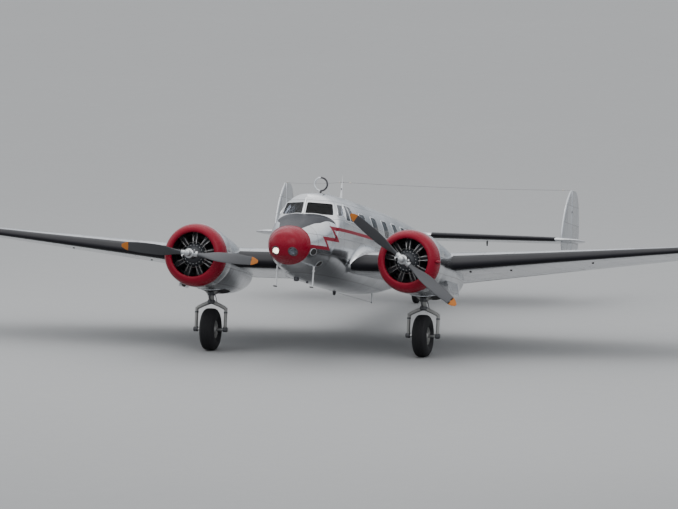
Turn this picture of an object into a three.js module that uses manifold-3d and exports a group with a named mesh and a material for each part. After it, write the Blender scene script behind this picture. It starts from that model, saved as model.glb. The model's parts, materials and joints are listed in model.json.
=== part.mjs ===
// A twin-engine, low-wing, all-metal light airliner of the 1930s with twin fins, standing on its tail wheel.
// Millimetres, +Z up. The nose points to -Y and +X is the airliner's own left side.
// The airframe is drawn level first: y is measured aft of the nose tip and z above the thrust line.
// The whole airframe is then pitched nose-up until its three tyres stand on z = 0.

import * as THREE from "three";
import { mergeVertices } from "three/addons/utils/BufferGeometryUtils.js";
import Module from "manifold-3d";

const wasm = await Module();
wasm.setup();

// Driving sizes
const SEAT_GAP = 0.3; // between pieces that touch
const HALF_SPAN = 8382;
const ENGINE_X = 2120; // thrust lines, each side of the middle
const PROPELLER_RADIUS = 1370;
const COWL_LIP_Y = 1200;
const COWL_RADIUS = 610;
const MAIN_AXLE = { y: 2790, z: -1350 };
const MAIN_TYRE_RADIUS = 410;
const TAIL_AXLE = { y: 10420, z: -100 };
const TAIL_TYRE_RADIUS = 190;
const TYRE_SIDES = 32; // each tyre stands on one flat side
const WALL = 50; // cabin wall, frames and lining together
const FLOOR_Z = -60;

// Nose-up angle at which the flats of the main tyres and of the tail tyre stand level
const flat = Math.cos(Math.PI / TYRE_SIDES);
const [wheelbase, rise] = [TAIL_AXLE.y - MAIN_AXLE.y, TAIL_AXLE.z - MAIN_AXLE.z];
const PARKED =
  Math.atan2(rise, wheelbase) +
  Math.asin(((MAIN_TYRE_RADIUS - TAIL_TYRE_RADIUS) * flat) / Math.hypot(wheelbase, rise));

// Finishes
const finish = (color, metalness, roughness) =>
  new THREE.MeshStandardMaterial({ color, metalness, roughness });
const POLISHED = finish(0xd4d8dc, 1, 0.18);
const RED = finish(0xa80f1e, 0, 0.3);
const BLACK_RUBBER = finish(0x1b1c20, 0, 0.6);
const TYRE = finish(0x151515, 0, 0.85);
const GLASS = finish(0x3a4048, 0, 0.05);
const STEEL = finish(0x9aa0a4, 1, 0.35);
const IRON = finish(0x3a3b3d, 1, 0.5);
const BLADE = finish(0x4b4f54, 1, 0.4);
const PANEL_BLACK = finish(0x202225, 0, 0.7);
const LEATHER = finish(0x5b3a22, 0, 0.6);

// Geometry to solid and back

function solidOf(geometry) {
  const bare = geometry.clone();
  bare.deleteAttribute("normal");
  bare.deleteAttribute("uv");
  const merged = mergeVertices(bare, 1e-3);
  const corners = new Uint32Array(merged.index.array);
  const make = (triVerts) =>
    new wasm.Manifold(
      new wasm.Mesh({ numProp: 3, vertProperties: merged.attributes.position.array, triVerts }),
    );
  const made = make(corners);
  return made.volume() > 0 ? made : make(corners.reverse());
}

function geometryOf(solid) {
  const mesh = solid.getMesh();
  const points = new Float32Array((mesh.vertProperties.length / mesh.numProp) * 3);
  for (let i = 0; i < points.length / 3; i++)
    for (let k = 0; k < 3; k++) points[3 * i + k] = mesh.vertProperties[i * mesh.numProp + k];
  const geometry = new THREE.BufferGeometry();
  geometry.setAttribute("position", new THREE.BufferAttribute(points, 3));
  geometry.setIndex(new THREE.BufferAttribute(new Uint32Array(mesh.triVerts), 1));
  geometry.computeVertexNormals();
  return geometry;
}

const join = (...solids) => solids.reduce((a, b) => a.add(b));
const cut = (solid, ...tools) => tools.reduce((a, b) => a.subtract(b), solid);

// A closed skin through rings of equally many points. Each end is closed by a strip across the ring.
function loft(rings) {
  const n = rings[0].length;
  const points = rings.flat().flatMap((p) => [p.x, p.y, p.z]);
  const faces = [];
  for (let k = 0; k + 1 < rings.length; k++)
    for (let i = 0; i < n; i++) {
      const [a, b] = [k * n + i, k * n + ((i + 1) % n)];
      faces.push(a, b, a + n, b, b + n, a + n);
    }
  const cap = (start, turned) => {
    for (let i = 0, j = n - 1; i < j; i++, j--) {
      const strip = [[start + i, start + j, start + i + 1]];
      if (i + 1 < j - 1) strip.push([start + i + 1, start + j, start + j - 1]);
      for (const t of strip) faces.push(...(turned ? t.reverse() : t));
      if (i + 1 >= j - 1) break;
    }
  };
  cap(0, false);
  cap((rings.length - 1) * n, true);
  const geometry = new THREE.BufferGeometry();
  geometry.setAttribute("position", new THREE.Float32BufferAttribute(points, 3));
  geometry.setIndex(faces);
  return solidOf(geometry);
}

function box(x0, x1, y0, y1, z0, z1) {
  const geometry = new THREE.BoxGeometry(x1 - x0, y1 - y0, z1 - z0);
  geometry.translate((x0 + x1) / 2, (y0 + y1) / 2, (z0 + z1) / 2);
  return solidOf(geometry);
}

// A rod or a cone between two points
function rod(from, to, r0, r1 = r0, sides = 12) {
  const [a, b] = [new THREE.Vector3(...from), new THREE.Vector3(...to)];
  const way = b.clone().sub(a);
  const geometry = new THREE.CylinderGeometry(r1, r0, way.length(), sides);
  geometry.applyQuaternion(
    new THREE.Quaternion().setFromUnitVectors(new THREE.Vector3(0, 1, 0), way.clone().normalize()),
  );
  geometry.translate(...a.add(b).multiplyScalar(0.5).toArray());
  return solidOf(geometry);
}

// A turned piece: profile rows are [radius, y], closed on itself or on the axis, turned about the Y axis
function turned(profile, sides) {
  const closed = [...profile, profile[0]].map(([r, y]) => new THREE.Vector2(r, y));
  const onAxis = profile[0][0] === 0;
  return solidOf(new THREE.LatheGeometry(onAxis ? closed.slice(0, -1) : closed, sides));
}

const between = (table, at) => {
  const i = Math.max(1, table.findIndex((row) => row[0] >= at));
  const [low, high] = [table[i - 1], table[i]];
  const share = (at - low[0]) / (high[0] - low[0]);
  return low.map((value, k) => value + share * (high[k] - value));
};

// Fuselage
// Columns: y, half width, top, height of the widest line, bottom, roundness above and below (2 is an ellipse)
const HOOD = [
  [12, 90, 260, 175, 95, 2, 2],
  [60, 205, 365, 175, -5, 2, 2],
  [160, 300, 452, 178, -88, 2, 2],
  [300, 370, 515, 182, -145, 2.05, 2],
  [450, 415, 553, 188, -186, 2.15, 2],
  [700, 478, 624, 205, -242, 2.35, 2.05],
  [1000, 540, 716, 230, -292, 2.7, 2.1],
  [1370, 600, 846, 270, -342, 3.1, 2.15],
  [1750, 640, 868, 320, -378, 3.3, 2.2],
  [2100, 650, 860, 360, -395, 3.3, 2.2],
];
const CABIN = [
  [1150, 555, 1100, 248, -310, 2.3, 2.1],
  [1370, 606, 1190, 280, -346, 2.3, 2.15],
  [1750, 655, 1262, 330, -388, 2.3, 2.2],
  [2300, 695, 1318, 380, -422, 2.3, 2.25],
  [3000, 712, 1330, 410, -444, 2.3, 2.3],
  [4500, 716, 1316, 420, -450, 2.3, 2.3],
  [5800, 705, 1290, 430, -412, 2.3, 2.3],
  [6800, 668, 1262, 450, -320, 2.25, 2.25],
  [7800, 600, 1232, 490, -170, 2.2, 2.2],
  [8800, 500, 1192, 560, 30, 2.15, 2.15],
  [9700, 385, 1146, 650, 255, 2.1, 2.1],
  [10500, 265, 1094, 740, 470, 2, 2],
  [11100, 160, 1040, 800, 640, 2, 2],
  [11380, 70, 970, 830, 740, 2, 2],
  [11450, 18, 890, 850, 815, 2, 2],
];
const NOSE_CAP_END = 450;
const RING_POINTS = 32;

function bodyRing([y, half, top, wide, bottom, upper, lower], inset = 0, floor = -Infinity) {
  const ring = [];
  for (let i = 0; i < RING_POINTS; i++) {
    const angle = (2 * Math.PI * (i + 0.5)) / RING_POINTS + Math.PI / 2;
    const [c, s] = [Math.cos(angle), Math.sin(angle)];
    const power = 2 / (s > 0 ? upper : lower);
    const x = (half - inset) * Math.sign(c) * Math.abs(c) ** power;
    const rise = s > 0 ? top - inset - wide : wide - bottom - inset;
    const z = wide + rise * Math.sign(s) * Math.abs(s) ** power;
    ring.push(new THREE.Vector3(x, y, Math.max(z, floor + 1e-3 * i)));
  }
  return ring;
}

// The windscreen is two flat panes in a V.
// Each plane holds the foot and the head of the middle post and an outer corner.
const PANE_FOOT = [0, 1370, 852];
const PANE_HEAD = [0, 1540, 1110];
const PANE_CORNER = [500, 1750, 853];

function paneFrame(side) {
  const [foot, head, corner] = [PANE_FOOT, PANE_HEAD, PANE_CORNER].map(
    ([x, y, z]) => new THREE.Vector3(side * x, y, z),
  );
  const across = corner.clone().sub(foot).normalize();
  const out = new THREE.Vector3().crossVectors(head.clone().sub(foot), across).normalize();
  if (out.y > 0) out.negate();
  const up = new THREE.Vector3().crossVectors(across, out).normalize();
  if (up.z < 0) up.negate();
  return { foot, across, up, out };
}

// Everything in front of a pane's plane, or of the plane this far behind it
function paneTool(side, back) {
  const { foot, across, out } = paneFrame(side);
  const size = 3000;
  const geometry = new THREE.BoxGeometry(size, size, size);
  const turn = new THREE.Matrix4().makeBasis(across, new THREE.Vector3().crossVectors(out, across), out);
  geometry.applyMatrix4(turn.setPosition(foot.clone().addScaledVector(out, size / 2 - back)));
  return solidOf(geometry);
}

const cabinShape = cut(loft(CABIN.map((row) => bodyRing(row))), paneTool(1, 0), paneTool(-1, 0));
const hoodShape = loft(HOOD.filter((row) => row[0] >= NOSE_CAP_END).map((row) => bodyRing(row)));
const hullShape = join(cabinShape, hoodShape);

// The room inside, from the windscreen to the rear bulkhead and over the floor, or any smaller skin's inside
const BULKHEAD_FRONT = 1330;
const BULKHEAD_REAR = 8300;

function roomSolid(wall) {
  const rows = [BULKHEAD_FRONT, 1750, 2300, 3000, 4500, 5800, 6800, 7800, BULKHEAD_REAR];
  const tube = loft(rows.map((y) => bodyRing(between(CABIN, y), wall, FLOOR_Z)));
  return cut(tube, paneTool(1, wall), paneTool(-1, wall));
}

// Wing
// Clark Y outline in shares of the chord: along, upper, lower
const AEROFOIL = [
  [1, 0.004, -0.001],
  [0.86, 0.039, 0],
  [0.7, 0.0735, 0],
  [0.5, 0.1052, 0],
  [0.3, 0.117, 0],
  [0.15, 0.1069, 0.0015],
  [0.06, 0.083, 0.008],
  [0.015, 0.057, 0.018],
  [0, 0.035, 0.034],
];
const AEROFOIL_THICKNESS = 0.117;
const AEROFOIL_NOSE = 0.035;
const INCIDENCE = THREE.MathUtils.degToRad(-0.7);
const DIHEDRAL = Math.tan(THREE.MathUtils.degToRad(5.9));
const PANEL_X = 2100; // where the outer wings are bolted on, inside the nacelles
const WING_NOSE_Z = -40;
// Columns: x, nose y, nose z, chord, thickness share
const WING = [
  [0, 2560, WING_NOSE_Z, 3350, 0.138],
  [PANEL_X, 2560, WING_NOSE_Z, 3350, 0.136],
  [7850, 3520, WING_NOSE_Z + (7850 - PANEL_X) * DIHEDRAL, 1400, 0.095],
  [8110, 3610, WING_NOSE_Z + (8110 - PANEL_X) * DIHEDRAL, 1200, 0.09],
  [8270, 3740, WING_NOSE_Z + (8270 - PANEL_X) * DIHEDRAL, 900, 0.08],
  [8350, 3890, WING_NOSE_Z + (8350 - PANEL_X) * DIHEDRAL, 580, 0.065],
  [HALF_SPAN, 4060, WING_NOSE_Z + (HALF_SPAN - PANEL_X) * DIHEDRAL, 240, 0.05],
];

// A point of the wing: a share along the chord, and a height over the flat underside in shares of the chord,
// in millimetres or in both
function wingPoint(x, along, lift, liftMm = 0) {
  const [, noseY, noseZ, chord, thickness] = between(WING, Math.abs(x));
  const scale = thickness / AEROFOIL_THICKNESS;
  const depth = along * chord;
  const height = (lift - AEROFOIL_NOSE) * scale * chord + liftMm;
  return new THREE.Vector3(
    x,
    noseY + depth * Math.cos(INCIDENCE) + height * Math.sin(INCIDENCE),
    noseZ - depth * Math.sin(INCIDENCE) + height * Math.cos(INCIDENCE),
  );
}

function wingRing(x, grow = 0) {
  const upper = AEROFOIL.map(([along, top]) => wingPoint(x, along, top, grow));
  const lower = AEROFOIL.map(([along, , low]) => wingPoint(x, along, low, -grow)).reverse();
  for (const p of [upper.at(-1), lower[0]]) p.y -= grow;
  for (const p of [upper[0], lower.at(-1)]) p.y += grow;
  return [...upper, ...lower];
}

const centreWing = (reach, grow) => loft([-reach, reach].map((x) => wingRing(x, grow)));
const outerWing = (side, grow, start) =>
  loft([start, ...WING.map(([x]) => x).filter((x) => x > PANEL_X)].map((x) => wingRing(side * x, grow)));

// Split flaps lie in the flat underside. Columns: inner x, outer x
const FLAP_SPANS = { inner: [830, 2050], outer: [2150, 4560] };
const FLAP = { front: 0.84, rear: 0.97, thick: 14, gap: 6 };

function flapSolid(side, [x0, x1], grow) {
  const share = grow / 2500;
  const ring = (x) => [
    wingPoint(x, FLAP.front - share, 0, grow ? -40 : 0),
    wingPoint(x, FLAP.rear + share, 0, grow ? -40 : 0),
    wingPoint(x, FLAP.rear + share, 0, FLAP.thick + grow),
    wingPoint(x, FLAP.front - share, 0, FLAP.thick + grow),
  ];
  return loft([side * (x0 - grow), side * (x1 + grow)].map(ring));
}

const flapHinge = (x) => wingPoint(x, FLAP.front + 0.002, 0, 6);

// Pins that stand out of a slot's two end walls towards the ends of the surface between them
function endPins(side, [x0, x1], hinge, { gap, radius, short }) {
  return [[x0, -1], [x1, 1]].map(([x, way]) => {
    const end = hinge(side * x);
    return rod(
      [side * (x + way * short), end.y, end.z],
      [side * (x + way * (gap + 12)), end.y, end.z],
      radius,
      radius,
      8,
    );
  });
}

// Ailerons: a round nose at the hinge and the wing's own outline behind it
const AILERON = { inner: 4660, outer: 7690, hinge: 0.79, slotFront: 0.755, gap: 10 };
const surfaceAt = (along, column) => between([...AEROFOIL].reverse(), along)[column];

function aileronHinge(x) {
  const middle = (surfaceAt(AILERON.hinge, 1) + surfaceAt(AILERON.hinge, 2)) / 2;
  return wingPoint(x, AILERON.hinge, middle);
}

function aileronSolid(side) {
  const ring = (x) => {
    const [, , , chord, thickness] = between(WING, Math.abs(x));
    const half = (surfaceAt(AILERON.hinge, 1) - surfaceAt(AILERON.hinge, 2)) / 2;
    const radius = half * (thickness / AEROFOIL_THICKNESS) * chord;
    const nose = [60, 20, -20, -60].map((degrees) => {
      const angle = THREE.MathUtils.degToRad(degrees);
      const p = aileronHinge(x);
      return p.add(new THREE.Vector3(0, -radius * Math.cos(angle), radius * Math.sin(angle)));
    });
    return [
      wingPoint(x, 1, AEROFOIL[0][1]),
      wingPoint(x, AILERON.hinge, surfaceAt(AILERON.hinge, 1)),
      ...nose,
      wingPoint(x, AILERON.hinge, surfaceAt(AILERON.hinge, 2)),
      wingPoint(x, 1, AEROFOIL[0][2]),
    ];
  };
  return loft([side * AILERON.inner, side * AILERON.outer].map(ring));
}

function aileronSlot(side) {
  const reach = 200;
  const ring = (x) => [
    wingPoint(x, AILERON.slotFront, 0, reach),
    wingPoint(x, AILERON.slotFront, 0, -reach),
    wingPoint(x, 1.1, 0, -reach),
    wingPoint(x, 1.1, 0, reach),
  ];
  return loft([AILERON.inner - AILERON.gap, AILERON.outer + AILERON.gap].map((x) => ring(side * x)));
}

const flapPins = (side, place) =>
  endPins(side, FLAP_SPANS[place], flapHinge, { gap: FLAP.gap, radius: 4, short: 0.8 });
const aileronPins = (side) =>
  endPins(side, [AILERON.inner, AILERON.outer], aileronHinge, { gap: AILERON.gap, radius: 6, short: 0.8 });

const wingTools = [
  centreWing(PANEL_X, SEAT_GAP),
  outerWing(1, SEAT_GAP, PANEL_X - SEAT_GAP),
  outerWing(-1, SEAT_GAP, PANEL_X - SEAT_GAP),
];

// Nacelles and cowls, drawn about their own thrust line
// Columns as the fuselage's
const NACELLE = [
  [1880, 556, 556, 0, -556, 2, 2],
  [2300, 560, 548, -10, -590, 2, 2.2],
  [2900, 548, 470, -30, -618, 2, 2.4],
  [3600, 480, 330, -60, -606, 2, 2.4],
  [4300, 370, 160, -90, -520, 2, 2.3],
  [4900, 230, 0, -120, -390, 2, 2.1],
  [5290, 60, -120, -160, -240, 2, 2],
];

// Columns: radius, y behind the lip
const COWL = [
  [428, 45],
  [436, 14],
  [470, 0],
  [520, 18],
  [568, 80],
  [598, 180],
  [COWL_RADIUS, 320],
  [COWL_RADIUS, 600],
  [600, 750],
  [588, 750],
  [594, 600],
  [594, 300],
  [589.9, 296],
  [589.9, 205],
  [548, 100],
  [500, 55],
];
const COWL_SIDES = 30;

// Nine-cylinder radial engine
const CYLINDERS = 9;
const ENGINE = { row: COWL_LIP_Y + 273, crank: 230, barrel: 78, barrelTop: 420, head: 583 };

function engineSolid() {
  const crankcase = turned(
    [
      [0, PROPELLER_Y + PROPELLER_SEAT],
      [70, PROPELLER_Y + PROPELLER_SEAT],
      [95, COWL_LIP_Y + 20],
      [170, COWL_LIP_Y + 80],
      [ENGINE.crank, COWL_LIP_Y + 180],
      [ENGINE.crank, COWL_LIP_Y + 370],
      [330, COWL_LIP_Y + 430],
      [330, 1880 - SEAT_GAP],
      [0, 1880 - SEAT_GAP],
    ],
    24,
  );
  const parts = [crankcase];
  for (let i = 0; i < CYLINDERS; i++) {
    const angle = (2 * Math.PI * i) / CYLINDERS;
    const { row, crank, barrel: bore, barrelTop } = ENGINE;
    const barrel = rod([0, row, crank - 30], [0, row, barrelTop], bore, bore, 10);
    const head = box(-60, 60, row - 60, row + 60, barrelTop - 10, ENGINE.head);
    parts.push(join(barrel, head).rotate([0, THREE.MathUtils.radToDeg(angle), 0]));
  }
  return join(...parts);
}

// Propeller: two blades on a short hub, drawn about the Y axis with the blades along X
// Columns: radius from the hub, chord, thickness, blade angle in degrees
const PROPELLER_Y = COWL_LIP_Y - 190;
const PROPELLER_SEAT = 130; // from the blades' middle back to the engine's nose
const BLADE_STATIONS = [
  [90, 92, 90, 50],
  [260, 120, 66, 44],
  [480, 205, 36, 35],
  [800, 222, 24, 26],
  [1120, 190, 16, 20],
  [1300, 132, 10, 17],
  [PROPELLER_RADIUS, 50, 6, 16],
];

function bladeSolid() {
  const rings = BLADE_STATIONS.map(([r, chord, thick, degrees]) => {
    const turn = THREE.MathUtils.degToRad(degrees);
    const ring = [];
    for (let i = 0; i < 8; i++) {
      const angle = (2 * Math.PI * (i + 0.5)) / 8;
      const [u, v] = [(chord / 2) * Math.cos(angle), (thick / 2) * Math.sin(angle)];
      ring.push(
        new THREE.Vector3(
          r,
          u * Math.sin(turn) + v * Math.cos(turn),
          u * Math.cos(turn) - v * Math.sin(turn),
        ),
      );
    }
    return ring;
  });
  return loft(rings);
}

function propellerSolid() {
  const hub = turned(
    [
      [0, -230],
      [40, -226],
      [62, -200],
      [66, -80],
      [92, -70],
      [98, 70],
      [72, 90],
      [72, PROPELLER_SEAT - SEAT_GAP],
      [0, PROPELLER_SEAT - SEAT_GAP],
    ],
    20,
  );
  const blade = bladeSolid();
  return join(hub, blade, blade.rotate([0, 180, 0]));
}

// Main gear: a V of tubes to one oleo, a yoke over the tyre and two arms to the axle.
// Drawn about the tyre's middle line.
const LEG = {
  head: -515,
  knee: -660,
  crown: MAIN_AXLE.z + 535,
  corner: MAIN_AXLE.z + 400,
  yoke: 290,
  axle: 335,
};
const KNEE_Y = MAIN_AXLE.y - 60;
const LEG_Y = MAIN_AXLE.y - 20;

// Rows: from, to, radius, sides
function legTubes() {
  const { y, z } = MAIN_AXLE;
  const tubes = [
    [[0, KNEE_Y, LEG.knee], [0, LEG_Y, LEG.crown + 10], 58, 14],
    [[0, LEG_Y, LEG.crown + 40], [0, LEG_Y, LEG.crown - 34], 78, 14],
    [[0, KNEE_Y, LEG.knee + 34], [0, KNEE_Y, LEG.knee - 40], 74, 14],
    [[-LEG.axle, y, z], [LEG.axle, y, z], 30, 20],
  ];
  for (const side of [1, -1])
    tubes.push(
      [[side * 20, KNEE_Y, LEG.knee - 20], [side * 190, KNEE_Y - 30, LEG.head], 32, 12],
      [[side * 20, KNEE_Y, LEG.knee - 20], [side * 120, KNEE_Y + 490, LEG.head - 40], 26, 12],
      [[0, LEG_Y, LEG.crown], [side * LEG.yoke, y, LEG.corner], 36, 12],
      [[side * LEG.yoke, y, LEG.corner + 26], [side * LEG.yoke, y, z - 40], 32, 12],
      [[side * (LEG.yoke - 40), y, z], [side * (LEG.axle + 4), y, z], 50, 14],
    );
  return tubes;
}

const legSolid = () =>
  join(...legTubes().map(([from, to, radius, sides]) => rod(from, to, radius, radius, sides)));

// The sockets in the nacelle: the legs' upper tubes, a little wider and longer
function legSockets() {
  const tubes = legTubes().filter(([, to]) => to[2] > LEG.head - 60);
  return join(
    ...tubes.map(([from, to, radius, sides]) => {
      const deeper = to.map((value, k) => value + (value - from[k]) * 0.01);
      return rod(from, deeper, radius + SEAT_GAP, radius + SEAT_GAP, sides);
    }),
  );
}

// Undercarriage door panels hang beside each nacelle's wheel bay.
// Columns: height, front y, rear y, distance outboard of the nacelle's middle
const GEAR_DOOR = [
  [-250, 2420, 3260, 505],
  [-545, 2490, 3150, 585],
];
const GEAR_DOOR_THICK = 10;

function gearDoor(side, nacelleShape) {
  const rings = GEAR_DOOR.map(([z, front, rear, x]) =>
    [[x, front], [x + GEAR_DOOR_THICK, front], [x + GEAR_DOOR_THICK, rear], [x, rear]].map(
      ([a, b]) => new THREE.Vector3(side * a, b, z),
    ),
  );
  return cut(loft(rings), nacelleShape, nacelleShape.translate([side * SEAT_GAP, 0, 0]));
}

// Wheels, drawn about the X axis at their own centre and standing on a flat. Columns: radius, x
function wheelPieces(radius, half, rim, bore) {
  const wall = radius - rim;
  const mirrored = (rows) => [...rows, ...rows.map(([r, x]) => [r, -x]).reverse()];
  const tyre = mirrored([
    [rim, -half * 0.72],
    [rim + wall * 0.45, -half],
    [radius - wall * 0.12, -half * 0.8],
    [radius, -half * 0.3],
  ]);
  const hub = mirrored([
    [bore, -half * 0.8],
    [bore + rim * 0.2, -half * 0.8],
    [rim * 0.55, -half * 0.4],
    [rim * 0.88, -half * 0.45],
    [rim - SEAT_GAP, -half * 0.7],
  ]);
  const standing = [-THREE.MathUtils.radToDeg(Math.PI / TYRE_SIDES), 0, 0];
  const placed = (rows) => turned(rows, TYRE_SIDES).rotate([0, 0, 90]).rotate(standing);
  return { tyre: placed(tyre), hub: placed(hub) };
}

// Tail wheel, drawn upright about its axle: a fixed leg, a fork that turns under it, and the wheel
const CASTER = { trail: 120, crown: 222, legFoot: 290, legTop: 640, leg: 34, strut: 20, arm: 92, axle: 14 };

// The leg and its strut, or, grown, the sockets that they leave in the tail cone
function tailLeg(grow = 0) {
  const { trail, legFoot, legTop, leg, strut } = CASTER;
  const strutTop = [0, -trail - 330 - grow, legTop - 70 + grow];
  return join(
    rod([0, -trail, legFoot], [0, -trail, legTop + grow], leg + grow, leg + grow, 12),
    rod([0, -trail, legFoot + 60], strutTop, strut + grow, strut + grow, 8),
  );
}

function tailFork() {
  const { trail, crown, legFoot, arm, axle } = CASTER;
  const parts = [
    rod([0, -trail, crown - 20], [0, -trail, legFoot - SEAT_GAP], 42, 42, 14),
    box(-arm - 14, arm + 14, -trail - 30, 30, crown - 20, crown + 12),
    rod([-arm - 22, 0, 0], [arm + 22, 0, 0], axle, axle, 16),
  ];
  for (const side of [1, -1]) parts.push(rod([side * arm, 0, -26], [side * arm, -20, crown], 20, 24, 10));
  return join(...parts);
}

// Tail surfaces. The tailplane is drawn with its front at LE and a blunt end at the elevator's hinge.
const TAIL_Z = 1040;
const ELEVATOR_HINGE_Y = 10960;
// Columns: x, nose y, end y, thickness
const TAILPLANE = [
  [0, 9780, 10905, 150],
  [2600, 10020, 10905, 112],
  [3060, 10090, 10890, 96],
  [3230, 10190, 10840, 66],
  [3320, 10320, 10740, 34],
  [3350, 10460, 10620, 10],
];
// Columns: share from nose to end, half thickness share
const TAIL_OUTLINE = [
  [1, 0.36],
  [0.7, 0.46],
  [0.35, 0.5],
  [0.12, 0.38],
  [0.03, 0.22],
  [0, 0.06],
];

function tailRing(place, nose, end, thick, grow = 0) {
  const side = (sign) =>
    TAIL_OUTLINE.map(([along, half]) => {
      const y = nose + along * (end - nose) + (along === 1 ? grow : along === 0 ? -grow : 0);
      return place(y, sign * (half * thick + grow));
    });
  return [...side(1), ...side(-1).reverse()];
}

function tailplaneSolid(grow) {
  const stations = [...TAILPLANE.slice(1).reverse().map((row) => [-row[0], ...row.slice(1)]), ...TAILPLANE];
  return loft(
    stations.map(([x, nose, end, thick]) =>
      tailRing((y, h) => new THREE.Vector3(x, y, TAIL_Z + h), nose, end, thick, grow),
    ),
  );
}

// A moving tail surface: a round nose about the hinge, tapering to its trailing edge
function hingedRing(place, hinge, radius, rear) {
  const nose = [90, 54, 18, -18, -54, -90].map((degrees) => {
    const angle = THREE.MathUtils.degToRad(degrees);
    return place(hinge - radius * Math.cos(angle), radius * Math.sin(angle));
  });
  return [place(rear, 3), ...nose, place(rear, -3)];
}

// Columns: x, nose radius, rear y
const ELEVATOR = [
  [240, 46, 11400],
  [2560, 36, 11350],
  [2840, 33, 11020],
];

const TORQUE_TUBE = { reach: 260, radius: 20 };

const torqueTube = (grow) => {
  const { reach, radius } = TORQUE_TUBE;
  const end = [reach, ELEVATOR_HINGE_Y, TAIL_Z];
  return rod([-end[0], end[1], end[2]], end, radius + grow, radius + grow, 24);
};

function elevatorSolid() {
  const half = (side) =>
    loft(
      ELEVATOR.map(([x, radius, rear]) =>
        hingedRing((y, h) => new THREE.Vector3(side * x, y, TAIL_Z + h), ELEVATOR_HINGE_Y, radius, rear),
      ),
    );
  return join(half(1), half(-1), torqueTube(0));
}

const FIN_X = 2930;
const FIN_END_Y = 10995;
const RUDDER_HINGE_Y = 11040;
// Columns: z, front y, rear y, thickness of the fin, nose radius of the rudder
const FIN = [
  [640, 10840, 11330, 20, 12],
  [700, 10620, 11500, 46, 22],
  [840, 10430, 11670, 72, 32],
  [TAIL_Z, 10330, 11752, 84, 36],
  [1286, 10340, 11760, 82, 36],
  [1510, 10430, 11735, 76, 34],
  [1722, 10560, 11680, 66, 30],
  [1902, 10720, 11590, 52, 24],
  [2019, 10870, 11480, 34, 18],
  [2075, 10950, 11370, 20, 12],
];

// Each rudder turns on two pins, each held by a lug of the fin in a notch of the rudder's nose
const RUDDER_PIN = { heights: [880, 1640], radius: 6, lug: 9, notch: 22, reach: 17 };

function finSolid(side) {
  const skin = loft(
    FIN.map(([z, front, , thick]) =>
      tailRing((y, h) => new THREE.Vector3(side * FIN_X + h, y, z), front, FIN_END_Y, thick),
    ),
  );
  const { heights, radius, lug } = RUDDER_PIN;
  const x = side * FIN_X;
  const lugs = heights.map((z) => {
    const plate = box(x - lug, x + lug, FIN_END_Y - 8, RUDDER_HINGE_Y + 12, z - 8, z + 8);
    const [y, hole] = [RUDDER_HINGE_Y, radius + 0.4];
    const bore = rod([x, y, z - 20], [x, y, z + 20], hole, hole, 16);
    return cut(plate, bore);
  });
  return join(skin, ...lugs);
}

function rudderSolid(side) {
  const skin = loft(
    FIN.map(([z, , rear, , radius]) =>
      hingedRing((y, h) => new THREE.Vector3(side * FIN_X + h, y, z), RUDDER_HINGE_Y, radius, rear),
    ),
  );
  const { heights, radius, notch, reach } = RUDDER_PIN;
  const x = side * FIN_X;
  const notches = heights.map((z) =>
    box(x - 60, x + 60, FIN_END_Y, RUDDER_HINGE_Y + reach, z - notch, z + notch),
  );
  const pins = heights.map((z) =>
    rod([x, RUDDER_HINGE_Y, z - notch - 10], [x, RUDDER_HINGE_Y, z + notch + 10], radius, radius, 16),
  );
  return join(cut(skin, ...notches), ...pins);
}

// Windows and the door are cut straight through the wall, and each pane or door is the wall's own piece
// Columns: name, side, y and z of the four corners in the side view
const SIDE_PANES = [
  ["side_window_front", [1850, 870], [2110, 880], [2060, 1090], [1880, 1080]],
  ["side_window_rear", [2190, 800], [2830, 800], [2760, 1080], [2190, 1100]],
];
const DOOR = {
  front: 7280,
  rear: 7940,
  bottom: -20,
  top: 1000,
  gap: 8,
  rearGap: 15,
  corner: 70,
  thick: 30,
};
// Its hinge line stands just outside the skin, in front of the opening
const DOOR_HINGE = { x: 652, y: 7276, radius: 9, heights: [290, 600], half: 22 };

function sidePrism(side, corners, grow) {
  const middle = corners.reduce((a, c) => [a[0] + c[0] / 4, a[1] + c[1] / 4], [0, 0]);
  const ring = (x) =>
    corners.map(([y, z]) => {
      const [dy, dz] = [y - middle[0], z - middle[1]];
      return new THREE.Vector3(side * x, y + grow * Math.sign(dy), z + grow * Math.sign(dz));
    });
  return loft([ring(150), ring(1100)]);
}

function doorPrism(gap, rearGap) {
  const [y0, y1] = [DOOR.front + gap, DOOR.rear - rearGap];
  const [z0, z1] = [DOOR.bottom + gap, DOOR.top - gap];
  const r = DOOR.corner - gap;
  const shape = new THREE.Shape();
  shape.moveTo(y0 + r, z0);
  shape.lineTo(y1 - r, z0).absarc(y1 - r, z0 + r, r, -Math.PI / 2, 0);
  shape.lineTo(y1, z1 - r).absarc(y1 - r, z1 - r, r, 0, Math.PI / 2);
  shape.lineTo(y0 + r, z1).absarc(y0 + r, z1 - r, r, Math.PI / 2, Math.PI);
  shape.lineTo(y0, z0 + r).absarc(y0 + r, z0 + r, r, Math.PI, 1.5 * Math.PI);
  const geometry = new THREE.ExtrudeGeometry(shape, { depth: 800, bevelEnabled: false, curveSegments: 4 });
  geometry.applyMatrix4(
    new THREE.Matrix4().makeBasis(
      new THREE.Vector3(0, 1, 0),
      new THREE.Vector3(0, 0, 1),
      new THREE.Vector3(1, 0, 0),
    ).setPosition(200, 0, 0),
  );
  return solidOf(geometry);
}

// A windscreen pane: corners in its own plane, as x and z, pushed through the wall
const PANE_CORNERS = [
  [40, 880],
  [492, 880],
  [452, 1078],
  [40, 1100],
];

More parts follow.
